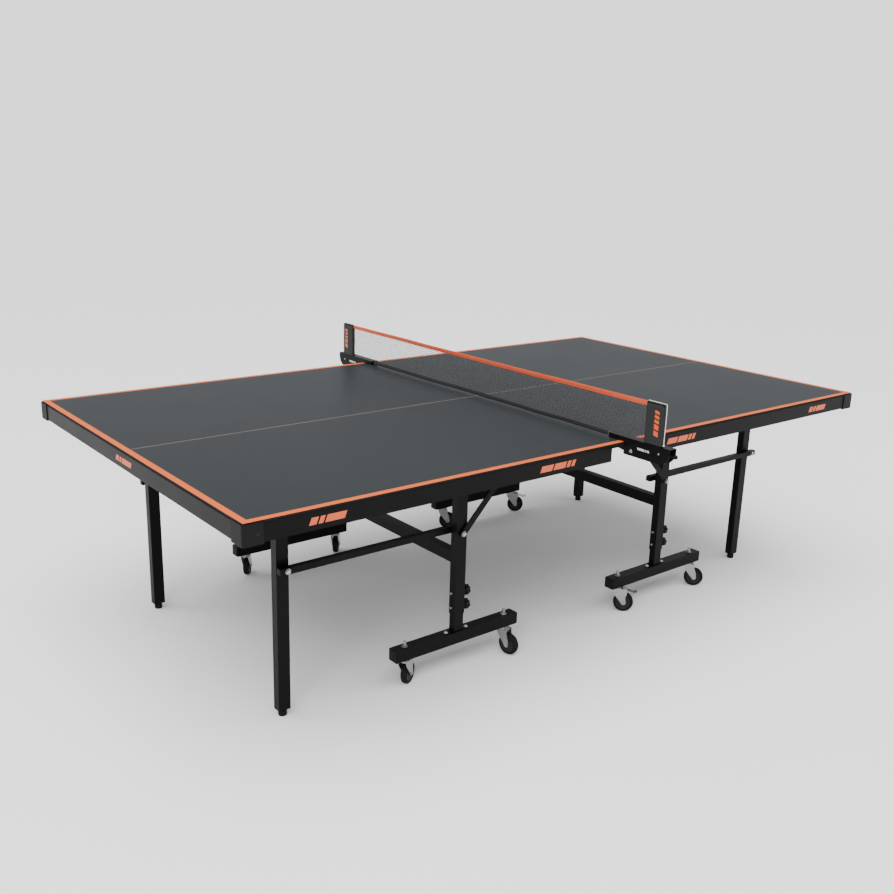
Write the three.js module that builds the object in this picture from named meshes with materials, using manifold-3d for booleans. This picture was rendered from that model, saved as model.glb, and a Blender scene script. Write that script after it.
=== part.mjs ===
// A ping pong table in two halves. Each half is a top on a roller trolley, and folds up about the
// trolley's posts while its end legs stay upright on parallel link bars. Millimetres, +Z up, origin on
// the floor under the middle of the table, +X along the table's length.
import * as THREE from "three";
import { mergeVertices } from "three/addons/utils/BufferGeometryUtils.js";
import Module from "manifold-3d";

// ---- Driving dimensions ----
const TABLE_LENGTH = 2740;
const TABLE_WIDTH = 1525;
const TABLE_HEIGHT = 760;
const HALF_GAP = 1.5; // from the middle of the table to each board's edge
const FIT = 0.3; // gap between pieces that touch
const CORNER_ROUND = 4;

const BOARD_THICK = 16;
const RAIL_SHEET = 2;
const RAIL_LIP = 8; // the side rail's top edge lies this far below the playing surface
const RAIL_DEPTH = 51;
const RAIL_FLANGE = 22;
const CLAMP_NOTCH = 55; // the side rails stop this far from the middle, so that a net clamp can grip
const CROSS_RAIL_DEPTH = 20;
const CROSS_RAIL_WIDTH = 30;
const NET_RAIL_X = 127;

const CAP_WALL = 2.5;
const CAP_ARM = 60;
const CAP_OVERHANG = 4; // how far the cap reaches past the rail, above and below
const CAP_LEDGE = 20;

const TUBE_X = 40; // section of the posts and legs
const TUBE_Y = 30;
const TUBE_WALL = 1.5;
const POST_X = 495;
const POST_BOTTOM = 200;
const PIVOT_DROP = 75; // from the playing surface down to the fold pivots on the posts and legs
const PIVOT_HEAD = 15; // how far a post or leg stands above its pivot
const LINK_DROP = 203; // from the fold pivots down to the link pivots
const BEAM_X = 30;
const BEAM_Z = 40;
const BEAM_DROP = 87; // from the link pivots down to the middle of the beam

const LEG_X = 1102;
const LEG_Y = 460;
const LEG_TIE = 26;
const LEG_PLUG = 5;

const LEVELLER_HEIGHT = 22;
const LEVELLER_RADIUS = 13.5;
const LEVELLER_STEM = 38;

const STUD_RADIUS = 5;
const STUD_SLACK = 0.3;
const NUT_RADIUS = 7.5;
const NUT_HEIGHT = 5.5;
const STUD_HEAD = 4;
const EAR_THICK = 4;
const EAR_WIDTH = 44;
const EAR_DROP = 17; // how far an ear reaches below its pivot

const LINK_DEPTH = 20;
const LINK_THICK = 20;
const LINK_WALL = 1.5;
const LINK_STUB_POST = 34; // past the post pivot, towards the net
const LINK_STUB_LEG = 22;
const LINK_SIDE_GAP = 12.5; // washer space between the link and the leg
const POST_SIDE_GAP = 12.5; // washer space between the link and the post

const BRACE_WIDTH = 22;
const BRACE_THICK = 4;
const BRACE_WASHER = 4;
const LOCK_X = 285;
const LOCK_DROP = 57; // from the playing surface down to the lock pins
const LOCK_PIN_RADIUS = 4;
const LOCK_PLATE_HALF = 13;

const FOOT_LENGTH = 505;
const FOOT_SECTION = 40;
const FOOT_WALL = 2;
const UPRIGHT_SLACK = 0.4; // gap all round inside the post
const UPRIGHT_DROP = 72; // from the link pivots down to the top of a foot's upright
const FOOT_TRAVEL = 30; // how far a foot can be let down once its knobs are slack
const KNOB_Z = [274, 224];
const KNOB_BOLT_RADIUS = 4;
const KNOB_RADIUS = 18;
const KNOB_DEPTH = 20;
const KNOB_NECK = 8;
const KNOB_TIP = 7;

const STEM_SPACING = 209; // from the post to each castor stem
const STEM_RADIUS = 5;
const STEM_ABOVE = 18; // how far a castor stem stands out of its foot
const WHEEL_RADIUS = 37.5;
const WHEEL_WIDTH = 22;
const AXLE_RADIUS = 4;
const TRAIL = 28;
const FORK_SHEET = 2;
const FORK_SIDE_GAP = 2.5;
const WHEEL_CLEARANCE = 17; // from the top of a wheel to the top of its fork's crown
const RACE_HEIGHT = 8; // from the crown to the foot
const RACE_RADIUS = 16;
const PEDAL_PIN = { along: 35, down: 9, radius: 2 }; // from the stem and the crown

const NET_HEIGHT = 152.5;
const NET_OVERHANG = 152.5;
const NET_X = 8; // the net's plane, carried by the half at +X
const NET_THICK = 1.2;
const NET_LOW_GAP = 4;
const CLAMP_X0 = 2;
const CLAMP_X1 = 34;
const CLAMP_SHEET = 2;
const CLAMP_GRIP = 68; // how far the jaws reach over the board
const CLAMP_TOP = 16;
const CLAMP_BELOW = 25;
const CLAMP_OUT = 188; // how far the clamp reaches past the board's edge
const NET_POST_WIDTH = 70;
const NET_POST_THICK = 12;
const SLEEVE_WALL = 1.3;
const SLEEVE_SLACK = 0.5;
const CORD_RADIUS = 1.25;
const JAW_PIN = { out: 30, down: 25, radius: 3 }; // from the board's edge and the playing surface
const JAW_THICK = 14;
const JAW_SWING = 6; // degrees the jaw opens before its lever meets the clamp's crown
const LEVER_RADIUS = 3;
const LEVER_BALL = 7;

const ROUND_SIDES = 20;
const SMALL_SIDES = 12;

// ---- Materials ----
function finish(color, roughness, metalness) {
  return new THREE.MeshStandardMaterial({ color, roughness, metalness });
}
const FINISH = {
  playing_surface: finish(0x3c3f42, 0.55, 0),
  black_frame: finish(0x151517, 0.45, 0.3),
  black_plastic: finish(0x101012, 0.5, 0),
  zinc: finish(0xb9bcbf, 0.35, 0.9),
  wheel_rubber: finish(0x141416, 0.7, 0),
  net_cloth: finish(0x2a2b2e, 0.9, 0),
  cord: finish(0xd8d5cc, 0.8, 0),
};

// ---- Solid helpers ----
const wasm = await Module();
wasm.setup();

// A closed three.js geometry as a solid with its faces out.
function solidOf(geometry) {
  const bare = geometry.index ? geometry.toNonIndexed() : geometry.clone();
  bare.deleteAttribute("normal");
  bare.deleteAttribute("uv");
  const merged = mergeVertices(bare, 1e-3);
  const triVerts = new Uint32Array(merged.index.array);
  const vertProperties = merged.attributes.position.array;
  const made = new wasm.Manifold(new wasm.Mesh({ numProp: 3, vertProperties, triVerts }));
  if (made.volume() >= 0) return made;
  for (let i = 0; i < triVerts.length; i += 3) {
    [triVerts[i + 1], triVerts[i + 2]] = [triVerts[i + 2], triVerts[i + 1]];
  }
  return new wasm.Manifold(new wasm.Mesh({ numProp: 3, vertProperties, triVerts }));
}

function geometryOf(made) {
  const { vertProperties, triVerts, numProp } = made.getMesh();
  const position = new Float32Array((vertProperties.length / numProp) * 3);
  for (let i = 0; i < position.length / 3; i += 1) {
    position.set(vertProperties.subarray(i * numProp, i * numProp + 3), i * 3);
  }
  const geometry = new THREE.BufferGeometry();
  geometry.setAttribute("position", new THREE.BufferAttribute(position, 3));
  geometry.setIndex(new THREE.BufferAttribute(new Uint32Array(triVerts), 1));
  return geometry;
}

const join = (...parts) => parts.reduce((whole, part) => whole.add(part));
const cut = (body, ...tools) => tools.reduce((left, tool) => left.subtract(tool), body);

function block(x0, x1, y0, y1, z0, z1) {
  const box = new THREE.BoxGeometry(x1 - x0, y1 - y0, z1 - z0);
  return solidOf(box.translate((x0 + x1) / 2, (y0 + y1) / 2, (z0 + z1) / 2));
}

// A round bar along one axis, from one coordinate on that axis to another; the centre gives the other two.
function bar(axis, from, to, radius, centre, sides = SMALL_SIDES) {
  const cylinder = new THREE.CylinderGeometry(radius, radius, to - from, sides);
  if (axis === "x") cylinder.rotateZ(Math.PI / 2);
  if (axis === "z") cylinder.rotateX(Math.PI / 2);
  const middle = { x: 0, y: 0, z: 0, ...centre, [axis]: (from + to) / 2 };
  return solidOf(cylinder.translate(middle.x, middle.y, middle.z));
}

function hexNut(axis, from, to, radius, centre) {
  return bar(axis, from, to, radius, centre, 6);
}

// A flat outline drawn in X and Z, given a thickness along Y.
function plateXZ(shape, y0, y1, curveSegments = 5) {
  const depth = y1 - y0;
  const geometry = new THREE.ExtrudeGeometry(shape, { depth, bevelEnabled: false, curveSegments });
  return solidOf(geometry.rotateX(Math.PI / 2).translate(0, y1, 0));
}

// A flat outline drawn in Y and Z, given a thickness along X.
function plateYZ(shape, x0, x1, curveSegments = 6) {
  const depth = x1 - x0;
  const geometry = new THREE.ExtrudeGeometry(shape, { depth, bevelEnabled: false, curveSegments });
  return solidOf(geometry.rotateX(Math.PI / 2).rotateZ(Math.PI / 2).translate(x0, 0, 0));
}

// A flat outline drawn in X and Y, given a thickness along Z.
function plateXY(shape, z0, z1, curveSegments = 4) {
  const depth = z1 - z0;
  const geometry = new THREE.ExtrudeGeometry(shape, { depth, bevelEnabled: false, curveSegments });
  return solidOf(geometry.translate(0, 0, z0));
}

function polygon(points) {
  return new THREE.Shape(points.map(([a, b]) => new THREE.Vector2(a, b)));
}

// A rectangular tube, open at both ends, between two corners; the hollow runs along one axis.
function hollow(axis, x0, x1, y0, y1, z0, z1, wall) {
  const inset = (name) => (axis === name ? -1 : wall);
  const core = block(
    x0 + inset("x"),
    x1 - inset("x"),
    y0 + inset("y"),
    y1 - inset("y"),
    z0 + inset("z"),
    z1 - inset("z"),
  );
  return cut(block(x0, x1, y0, y1, z0, z1), core);
}

function lathe(points, sides = ROUND_SIDES) {
  return new THREE.LatheGeometry(
    points.map(([r, h]) => new THREE.Vector2(r, h)),
    sides,
  );
}

function piece(name, made, material) {
  const geometry = made.isBufferGeometry ? made : geometryOf(made);
  const mesh = new THREE.Mesh(geometry, material);
  mesh.name = name;
  return mesh;
}

// ---- Places worked out from the driving dimensions ----
const HALF_LENGTH = TABLE_LENGTH / 2;
const HALF_WIDTH = TABLE_WIDTH / 2;
const BOARD_UNDER = TABLE_HEIGHT - BOARD_THICK;
const RAIL_TOP = TABLE_HEIGHT - RAIL_LIP;
const RAIL_BOTTOM = RAIL_TOP - RAIL_DEPTH;
const PIVOT_Z = TABLE_HEIGHT - PIVOT_DROP;
const LINK_Z = PIVOT_Z - LINK_DROP;
const LOCK_Z = TABLE_HEIGHT - LOCK_DROP;
const BEAM_CENTRE_Z = LINK_Z - BEAM_DROP;
const UPRIGHT_TOP = LINK_Z - UPRIGHT_DROP;
const UNDER = BOARD_UNDER - FIT; // where the frame meets the board's underside
const FLANGE_TOP = UNDER - 0.5; // the board bears on the cross rails
const BOARD_INSET = RAIL_SHEET + FIT;
const CROSS_RAIL_BOTTOM = UNDER - CROSS_RAIL_DEPTH;
const LEG_OUT = LEG_Y + TUBE_Y / 2;
const LINK_IN = LEG_OUT + LINK_SIDE_GAP;
const LINK_OUT = LINK_IN + LINK_THICK;
const POST_IN = LINK_OUT + POST_SIDE_GAP;
const POST_OUT = POST_IN + TUBE_Y;
const POST_Y = (POST_IN + POST_OUT) / 2;
const BRACE_IN = POST_OUT + BRACE_WASHER;
const BRACE_OUT = BRACE_IN + BRACE_THICK;
const BORE = STUD_RADIUS + STUD_SLACK;
const FORK_CROWN_Z = 2 * WHEEL_RADIUS + WHEEL_CLEARANCE;
const PEDAL_PIN_Z = FORK_CROWN_Z - PEDAL_PIN.down;
const FOOT_BOTTOM = FORK_CROWN_Z + RACE_HEIGHT;
const FOOT_TOP = FOOT_BOTTOM + FOOT_SECTION;
const STEM_TOP = FOOT_TOP + STEM_ABOVE;
const FOLD_EAR_OUT = POST_IN - 2.5;
const LEG_EAR_IN = LEG_OUT + 3;
const LOCK_PLATE_IN = BRACE_OUT + FIT + NUT_HEIGHT + 1.5;
const NET_POST_OUT = HALF_WIDTH + NET_OVERHANG - SLEEVE_WALL - SLEEVE_SLACK;
const NET_POST_IN = NET_POST_OUT - NET_POST_WIDTH;
const NET_TOP = TABLE_HEIGHT + NET_HEIGHT;
const CLAMP_TOP_Z = TABLE_HEIGHT + CLAMP_TOP;

// ---- The top of one half, in the half's own frame: +X points away from the net ----

// The half's outline seen from above, with its two outer corners rounded.
function topOutline(inset, start) {
  const far = HALF_LENGTH - inset;
  const side = HALF_WIDTH - inset;
  const r = CORNER_ROUND;
  const shape = new THREE.Shape();
  shape.moveTo(start, -side);
  shape.lineTo(far - r, -side);
  shape.absarc(far - r, -side + r, r, -Math.PI / 2, 0);
  shape.lineTo(far, side - r);
  shape.absarc(far - r, side - r, r, 0, Math.PI / 2);
  shape.lineTo(start, side);
  return shape;
}

function boardSolid() {
  return plateXY(topOutline(BOARD_INSET, HALF_GAP), BOARD_UNDER, TABLE_HEIGHT);
}

// The apron: one folded rail along both sides and the end, with a flange under the board and one along the
// bottom. It is open towards the net.
function apronSolid() {
  const layer = (inset, start, z0, z1) => plateXY(topOutline(inset, start), z0, z1);
  return cut(
    layer(0, CLAMP_NOTCH, RAIL_BOTTOM, RAIL_TOP),
    layer(RAIL_FLANGE, 0, RAIL_BOTTOM - 1, RAIL_TOP + 1),
    layer(RAIL_SHEET, 0, RAIL_BOTTOM + RAIL_SHEET, FLANGE_TOP - RAIL_SHEET),
    layer(RAIL_SHEET, 0, FLANGE_TOP, RAIL_TOP + 1),
  );
}

function crossRail(x) {
  const reach = HALF_WIDTH - RAIL_SHEET / 2;
  const half = CROSS_RAIL_WIDTH / 2;
  return block(x - half, x + half, -reach, reach, CROSS_RAIL_BOTTOM, UNDER);
}

// A rounded lug that hangs from a cross rail and carries a pivot.
function ear(x, y0, y1) {
  const half = EAR_WIDTH / 2;
  const shape = new THREE.Shape();
  shape.moveTo(x - half, CROSS_RAIL_BOTTOM + 1);
  shape.lineTo(x - EAR_DROP, PIVOT_Z);
  shape.absarc(x, PIVOT_Z, EAR_DROP, Math.PI, 2 * Math.PI);
  shape.lineTo(x + half, CROSS_RAIL_BOTTOM + 1);
  const bore = bar("y", y0 - 1, y1 + 1, BORE, { x, z: PIVOT_Z });
  return cut(plateXZ(shape, y0, y1), bore);
}

// The plate beside each brace, with the pin that the brace hooks under.
function lockPlate(side) {
  const near = side * LOCK_PLATE_IN;
  const far = side * (LOCK_PLATE_IN + EAR_THICK);
  const head = side * (LOCK_PLATE_IN + EAR_THICK + 2);
  const tip = side * (POST_OUT + 1.5);
  const low = LOCK_Z - LOCK_PLATE_HALF;
  const plate = block(
    LOCK_X - LOCK_PLATE_HALF,
    LOCK_X + LOCK_PLATE_HALF,
    Math.min(near, far),
    Math.max(near, far),
    low,
    CROSS_RAIL_BOTTOM + 1,
  );
  const pin = bar("y", Math.min(tip, head), Math.max(tip, head), LOCK_PIN_RADIUS, { x: LOCK_X, z: LOCK_Z });
  return join(plate, pin);
}

function frameSolid() {
  const parts = [apronSolid()];
  for (const x of [NET_RAIL_X, LOCK_X, POST_X, LEG_X]) parts.push(crossRail(x));
  for (const side of [-1, 1]) {
    const fold = [side * (FOLD_EAR_OUT - EAR_THICK), side * FOLD_EAR_OUT].sort((a, b) => a - b);
    const leg = [side * LEG_EAR_IN, side * (LEG_EAR_IN + EAR_THICK)].sort((a, b) => a - b);
    parts.push(ear(POST_X, ...fold), ear(LEG_X, ...leg), lockPlate(side));
  }
  return join(...parts);
}

// A moulded cap over an outer corner of the rails.
function capSolid(side) {
  const grow = CAP_WALL + FIT;
  const r = CORNER_ROUND + grow;
  const far = HALF_LENGTH + grow;
  const edge = HALF_WIDTH + grow;
  const shape = new THREE.Shape();
  shape.moveTo(far - CAP_ARM, edge - CAP_ARM);
  shape.lineTo(far, edge - CAP_ARM);
  shape.lineTo(far, edge - r);
  shape.absarc(far - r, edge - r, r, 0, Math.PI / 2);
  shape.lineTo(far - CAP_ARM, edge);
  const low = RAIL_BOTTOM - CAP_OVERHANG;
  const shell = plateXY(shape, low, RAIL_TOP + CAP_OVERHANG);
  const core = plateXY(topOutline(-FIT, 0), RAIL_BOTTOM - FIT, TABLE_HEIGHT);
  const inside = block(0, HALF_LENGTH - CAP_LEDGE, 0, HALF_WIDTH - CAP_LEDGE, low - 1, TABLE_HEIGHT);
  const cap = cut(shell, core, inside);
  return side > 0 ? cap : cap.mirror([0, 1, 0]);
}

// ---- The trolley of one half ----

// Two posts joined by a beam, with the studs that the top, the links and the braces turn on.
function postFrameSolid() {
  const x0 = POST_X - TUBE_X / 2;
  const x1 = POST_X + TUBE_X / 2;
  const beamLow = BEAM_CENTRE_Z - BEAM_Z / 2;
  const reach = POST_IN + TUBE_WALL / 2;
  const parts = [
    hollow(
      "y",
      POST_X - BEAM_X / 2,
      POST_X + BEAM_X / 2,
      -reach,
      reach,
      beamLow,
      beamLow + BEAM_Z,
      TUBE_WALL,
    ),
  ];
  const foldHead = FOLD_EAR_OUT - EAR_THICK - FIT - STUD_HEAD;
  const stud = (side, from, to, radius, z, sides = SMALL_SIDES) =>
    bar("y", Math.min(side * from, side * to), Math.max(side * from, side * to), radius, { x: POST_X, z }, sides);
  for (const side of [-1, 1]) {
    const y0 = side * POST_Y - TUBE_Y / 2;
    const post = hollow("z", x0, x1, y0, y0 + TUBE_Y, POST_BOTTOM, PIVOT_Z + PIVOT_HEAD, TUBE_WALL);
    const bolts = KNOB_Z.map((z) =>
      bar("x", x0 - 1, x1 + 1, KNOB_BOLT_RADIUS + STUD_SLACK, { y: side * POST_Y, z }),
    );
    parts.push(
      cut(post, ...bolts),
      stud(side, foldHead, POST_OUT, STUD_RADIUS, PIVOT_Z),
      stud(side, foldHead, foldHead + STUD_HEAD, NUT_RADIUS, PIVOT_Z),
      stud(side, POST_OUT - 1, POST_OUT + NUT_HEIGHT, NUT_RADIUS, PIVOT_Z, 6),
      stud(side, LINK_IN - FIT - NUT_HEIGHT, BRACE_OUT + FIT + NUT_HEIGHT, STUD_RADIUS, LINK_Z),
      stud(side, LINK_IN - FIT - NUT_HEIGHT, LINK_IN - FIT, NUT_RADIUS, LINK_Z, 6),
      stud(side, LINK_OUT + FIT, POST_IN + 1, NUT_RADIUS, LINK_Z),
      stud(side, POST_OUT - 1, BRACE_IN - FIT, NUT_RADIUS, LINK_Z),
      stud(side, BRACE_OUT + FIT, BRACE_OUT + FIT + NUT_HEIGHT, NUT_RADIUS, LINK_Z, 6),
    );
  }
  const core = block(
    POST_X - BEAM_X / 2 + TUBE_WALL,
    POST_X + BEAM_X / 2 - TUBE_WALL,
    -reach - TUBE_WALL,
    reach + TUBE_WALL,
    beamLow + TUBE_WALL,
    beamLow + BEAM_Z - TUBE_WALL,
  );
  return cut(join(...parts), core);
}

// The roller foot: a bar along the table with an upright that slides up inside the post.
function footSolid() {
  const half = FOOT_LENGTH / 2;
  const section = FOOT_SECTION / 2;
  const foot = hollow("x", -half, half, -section, section, FOOT_BOTTOM, FOOT_TOP, FOOT_WALL);
  const inset = TUBE_WALL + UPRIGHT_SLACK;
  const ux = TUBE_X / 2 - inset;
  const uy = TUBE_Y / 2 - inset;
  const upright = hollow("z", -ux, ux, -uy, uy, FOOT_TOP - FOOT_WALL / 2, UPRIGHT_TOP, TUBE_WALL);
  const slotHalf = KNOB_BOLT_RADIUS + STUD_SLACK;
  const slots = KNOB_Z.map((z) =>
    join(
      block(-ux - 1, ux + 1, -slotHalf, slotHalf, z, z + FOOT_TRAVEL),
      bar("x", -ux - 1, ux + 1, slotHalf, { z }),
      bar("x", -ux - 1, ux + 1, slotHalf, { z: z + FOOT_TRAVEL }),
    ),
  );
  const stems = [-1, 1].map((end) =>
    bar("z", FOOT_BOTTOM - 1, FOOT_TOP + 1, STEM_RADIUS + STUD_SLACK, { x: end * STEM_SPACING }),
  );
  return cut(join(foot, upright), ...slots, ...stems);
}

// A clamping knob on its through bolt. The knob's head is on +X of the post.
function knobSolid() {
  const face = TUBE_X / 2 + FIT;
  const head = lathe(
    [
      [0, 0],
      [KNOB_RADIUS * 0.55, 0],
      [KNOB_RADIUS * 0.55, KNOB_NECK],
      [KNOB_RADIUS, KNOB_NECK + 2],
      [KNOB_RADIUS, KNOB_NECK + KNOB_DEPTH - 5],
      [KNOB_RADIUS * 0.75, KNOB_NECK + KNOB_DEPTH],
      [0, KNOB_NECK + KNOB_DEPTH],
    ],
    ROUND_SIDES,
  );
  head.rotateZ(-Math.PI / 2).translate(face, 0, 0);
  return join(solidOf(head), bar("x", -face - KNOB_TIP, face + 1, KNOB_BOLT_RADIUS, {}));
}

function linkSolid(side) {
  const y0 = side > 0 ? LINK_IN : -LINK_OUT;
  const tube = hollow(
    "x",
    POST_X - LINK_STUB_POST,
    LEG_X + LINK_STUB_LEG,
    y0,
    y0 + LINK_THICK,
    LINK_Z - LINK_DEPTH / 2,
    LINK_Z + LINK_DEPTH / 2,
    LINK_WALL,
  );
  const bores = [POST_X, LEG_X].map((x) => bar("y", y0 - 1, y0 + LINK_THICK + 1, BORE, { x, z: LINK_Z }));
  return cut(tube, ...bores);
}

// The locking brace: a flat bar that turns on the post's stud and hooks under the lock pin.
function braceSolid(side) {
  const run = LOCK_X - POST_X;
  const rise = LOCK_Z - LINK_Z;
  const length = Math.hypot(run, rise);
  const half = BRACE_WIDTH / 2;
  const blade = new THREE.Shape();
  blade.absarc(0, 0, half, Math.PI / 2, (3 * Math.PI) / 2);
  blade.absarc(length, 0, half, -Math.PI / 2, Math.PI / 2);
  const hole = new THREE.Path();
  hole.absarc(0, 0, BORE, 0, 2 * Math.PI, true);
  blade.holes.push(hole);
  const throat = LOCK_PIN_RADIUS + 0.6;
  const mouth = polygon([
    [length - throat, 0],
    [length - 4 * throat, -half - 3],
    [length + 1.2 * throat, -half - 3],
    [length + throat, 0],
  ]);
  const seat = new THREE.Shape();
  seat.absarc(length, 0, throat, 0, 2 * Math.PI);
  const flat = (shape, grow) => plateXZ(shape, -BRACE_THICK / 2 - grow, BRACE_THICK / 2 + grow);
  const bar0 = cut(flat(blade, 0), flat(mouth, 1), flat(seat, 1));
  const turn = (-Math.atan2(rise, run) * 180) / Math.PI;
  const y = side * (BRACE_IN + BRACE_THICK / 2);
  return bar0.rotate([0, turn, 0]).translate([POST_X, y, LINK_Z]);
}

// ---- The end legs of one half ----
function legFrameSolid() {
  const x0 = LEG_X - TUBE_X / 2;
  const x1 = LEG_X + TUBE_X / 2;
  const tie = LEG_TIE / 2;
  const reach = LEG_Y - TUBE_Y / 2 + TUBE_WALL / 2;
  const parts = [
    hollow("y", LEG_X - tie, LEG_X + tie, -reach, reach, PIVOT_Z - tie, PIVOT_Z + tie, TUBE_WALL),
  ];
  const stud = (side, from, to, radius, z, sides = SMALL_SIDES) =>
    bar("y", Math.min(side * from, side * to), Math.max(side * from, side * to), radius, { x: LEG_X, z }, sides);
  for (const side of [-1, 1]) {
    const y0 = side * LEG_Y - TUBE_Y / 2;
    const tube = hollow("z", x0, x1, y0, y0 + TUBE_Y, LEVELLER_HEIGHT, PIVOT_Z + PIVOT_HEAD, TUBE_WALL);
    const inset = TUBE_WALL / 2;
    const plug = block(
      x0 + inset,
      x1 - inset,
      y0 + inset,
      y0 + TUBE_Y - inset,
      LEVELLER_HEIGHT,
      LEVELLER_HEIGHT + LEG_PLUG,
    );
    const screw = bar("z", 0, LEVELLER_HEIGHT + LEG_PLUG + 1, BORE, { x: LEG_X, y: side * LEG_Y });
    const earOut = LEG_EAR_IN + EAR_THICK + FIT;
    parts.push(
      cut(join(tube, plug), screw),
      stud(side, LEG_OUT - 1, earOut + NUT_HEIGHT, STUD_RADIUS, PIVOT_Z),
      stud(side, earOut, earOut + NUT_HEIGHT, NUT_RADIUS, PIVOT_Z, 6),
      stud(side, LEG_OUT - 1, LINK_OUT + FIT + NUT_HEIGHT, STUD_RADIUS, LINK_Z),
      stud(side, LEG_OUT - 1, LINK_IN - FIT, NUT_RADIUS, LINK_Z),
      stud(side, LINK_OUT + FIT, LINK_OUT + FIT + NUT_HEIGHT, NUT_RADIUS, LINK_Z, 6),
    );
  }
  const core = block(
    LEG_X - tie + TUBE_WALL,
    LEG_X + tie - TUBE_WALL,
    -reach - TUBE_WALL,
    reach + TUBE_WALL,
    PIVOT_Z - tie + TUBE_WALL,
    PIVOT_Z + tie - TUBE_WALL,
  );
  return cut(join(...parts), core);
}

function levellerGeometry() {
  const top = LEVELLER_HEIGHT - FIT;
  const profile = [
    [0, 0],
    [LEVELLER_RADIUS * 0.85, 0],
    [LEVELLER_RADIUS, 3],
    [LEVELLER_RADIUS, top * 0.7],
    [LEVELLER_RADIUS * 0.7, top],
    [STUD_RADIUS, top],
    [STUD_RADIUS, top + LEVELLER_STEM],
    [0, top + LEVELLER_STEM],
  ];
  return lathe(profile, SMALL_SIDES).rotateX(Math.PI / 2);
}

// ---- A castor, with its stem on Z and its wheel trailing along +X ----
function forkSolid(braked) {
  const plateIn = WHEEL_WIDTH / 2 + FORK_SIDE_GAP;
  const plateOut = plateIn + FORK_SHEET;
  const top = FORK_CROWN_Z;
  const cheek = new THREE.Shape();
  const back = braked ? TRAIL + 12 : TRAIL - 1;
  cheek.moveTo(-16, top);
  cheek.lineTo(-16, top - 7);
  cheek.lineTo(-9, top - 21);
  cheek.lineTo(TRAIL - 9, WHEEL_RADIUS - 2);
  cheek.absarc(TRAIL, WHEEL_RADIUS, 9.2, Math.PI + 0.22, 2 * Math.PI + 0.35);
  cheek.lineTo(TRAIL + 6, WHEEL_RADIUS + 20);
  cheek.lineTo(back, top - 15);
  cheek.lineTo(back, top);
  const parts = [
    block(-17, TRAIL - 4, -plateOut, plateOut, top - FORK_SHEET, top),
    bar("z", top - 1, top + 3.4, RACE_RADIUS + 3.5, {}, ROUND_SIDES),
    bar("z", top + 3, FOOT_BOTTOM - FIT, RACE_RADIUS, {}, ROUND_SIDES),
    bar("z", FOOT_BOTTOM - 1, STEM_TOP, STEM_RADIUS, {}),
    hexNut("z", FOOT_TOP + FIT, FOOT_TOP + FIT + 7, 8.5, {}),
    bar("y", -plateOut - 2.5, plateOut + 2.5, AXLE_RADIUS, { x: TRAIL, z: WHEEL_RADIUS }),
  ];
  for (const side of [-1, 1]) {
    const inner = side * plateIn;
    const outer = side * plateOut;
    const head = side * (plateOut + 2.5);
    parts.push(plateXZ(cheek, Math.min(inner, outer), Math.max(inner, outer)));
    parts.push(
      hexNut("y", Math.min(inner, head), Math.max(inner, head), 6, { x: TRAIL, z: WHEEL_RADIUS }),
    );
  }
  if (braked) {
    const { along, radius } = PEDAL_PIN;
    parts.push(bar("y", -plateIn - 1, plateIn + 1, radius, { x: along, z: PEDAL_PIN_Z }));
  }
  const hollowHub = block(TRAIL - 8, TRAIL + 8, -plateIn, plateIn, WHEEL_RADIUS - 8, WHEEL_RADIUS + 8);
  const axle = bar("y", -plateIn - 1, plateIn + 1, AXLE_RADIUS, { x: TRAIL, z: WHEEL_RADIUS });
  return join(cut(join(...parts), hollowHub), axle);
}

function wheelGeometry() {
  const half = WHEEL_WIDTH / 2;
  const bore = AXLE_RADIUS + STUD_SLACK;
  const r = WHEEL_RADIUS;
  const profile = [
    [bore, -half],
    [12, -half],
    [12, -half + 3],
    [r - 11, -half + 3],
    [r - 8, -half + 0.5],
    [r, -half + 6],
    [r, half - 6],
    [r - 8, half - 0.5],
    [r - 11, half - 3],
    [12, half - 3],
    [12, half],
    [bore, half],
    [bore, -half],
  ];
  return solidOf(lathe(profile, ROUND_SIDES));
}

// The brake pedal: a bent plate with a barrel on the fork's cross pin.
function pedalSolid() {
  const { along, radius } = PEDAL_PIN;
  const up = PEDAL_PIN_Z;
  const half = WHEEL_WIDTH / 2 + FORK_SIDE_GAP - 1;
  const barrel = radius + STUD_SLACK + 2;
  const plate = polygon([
    [along - 9, up - 1],
    [along + 10, up - 1],
    [along + 30, up - 7],
    [along + 42, up - 3],
    [along + 42, up],
    [along + 30, up - 4],
    [along + 10, up + 2],
    [along - 9, up + 2],
  ]);
  const body = join(plateXZ(plate, -half, half), bar("y", -half, half, barrel, { x: along, z: up }));
  return cut(body, bar("y", -half - 1, half + 1, radius + STUD_SLACK, { x: along, z: up }));
}

// ---- One half of the table ----

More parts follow.
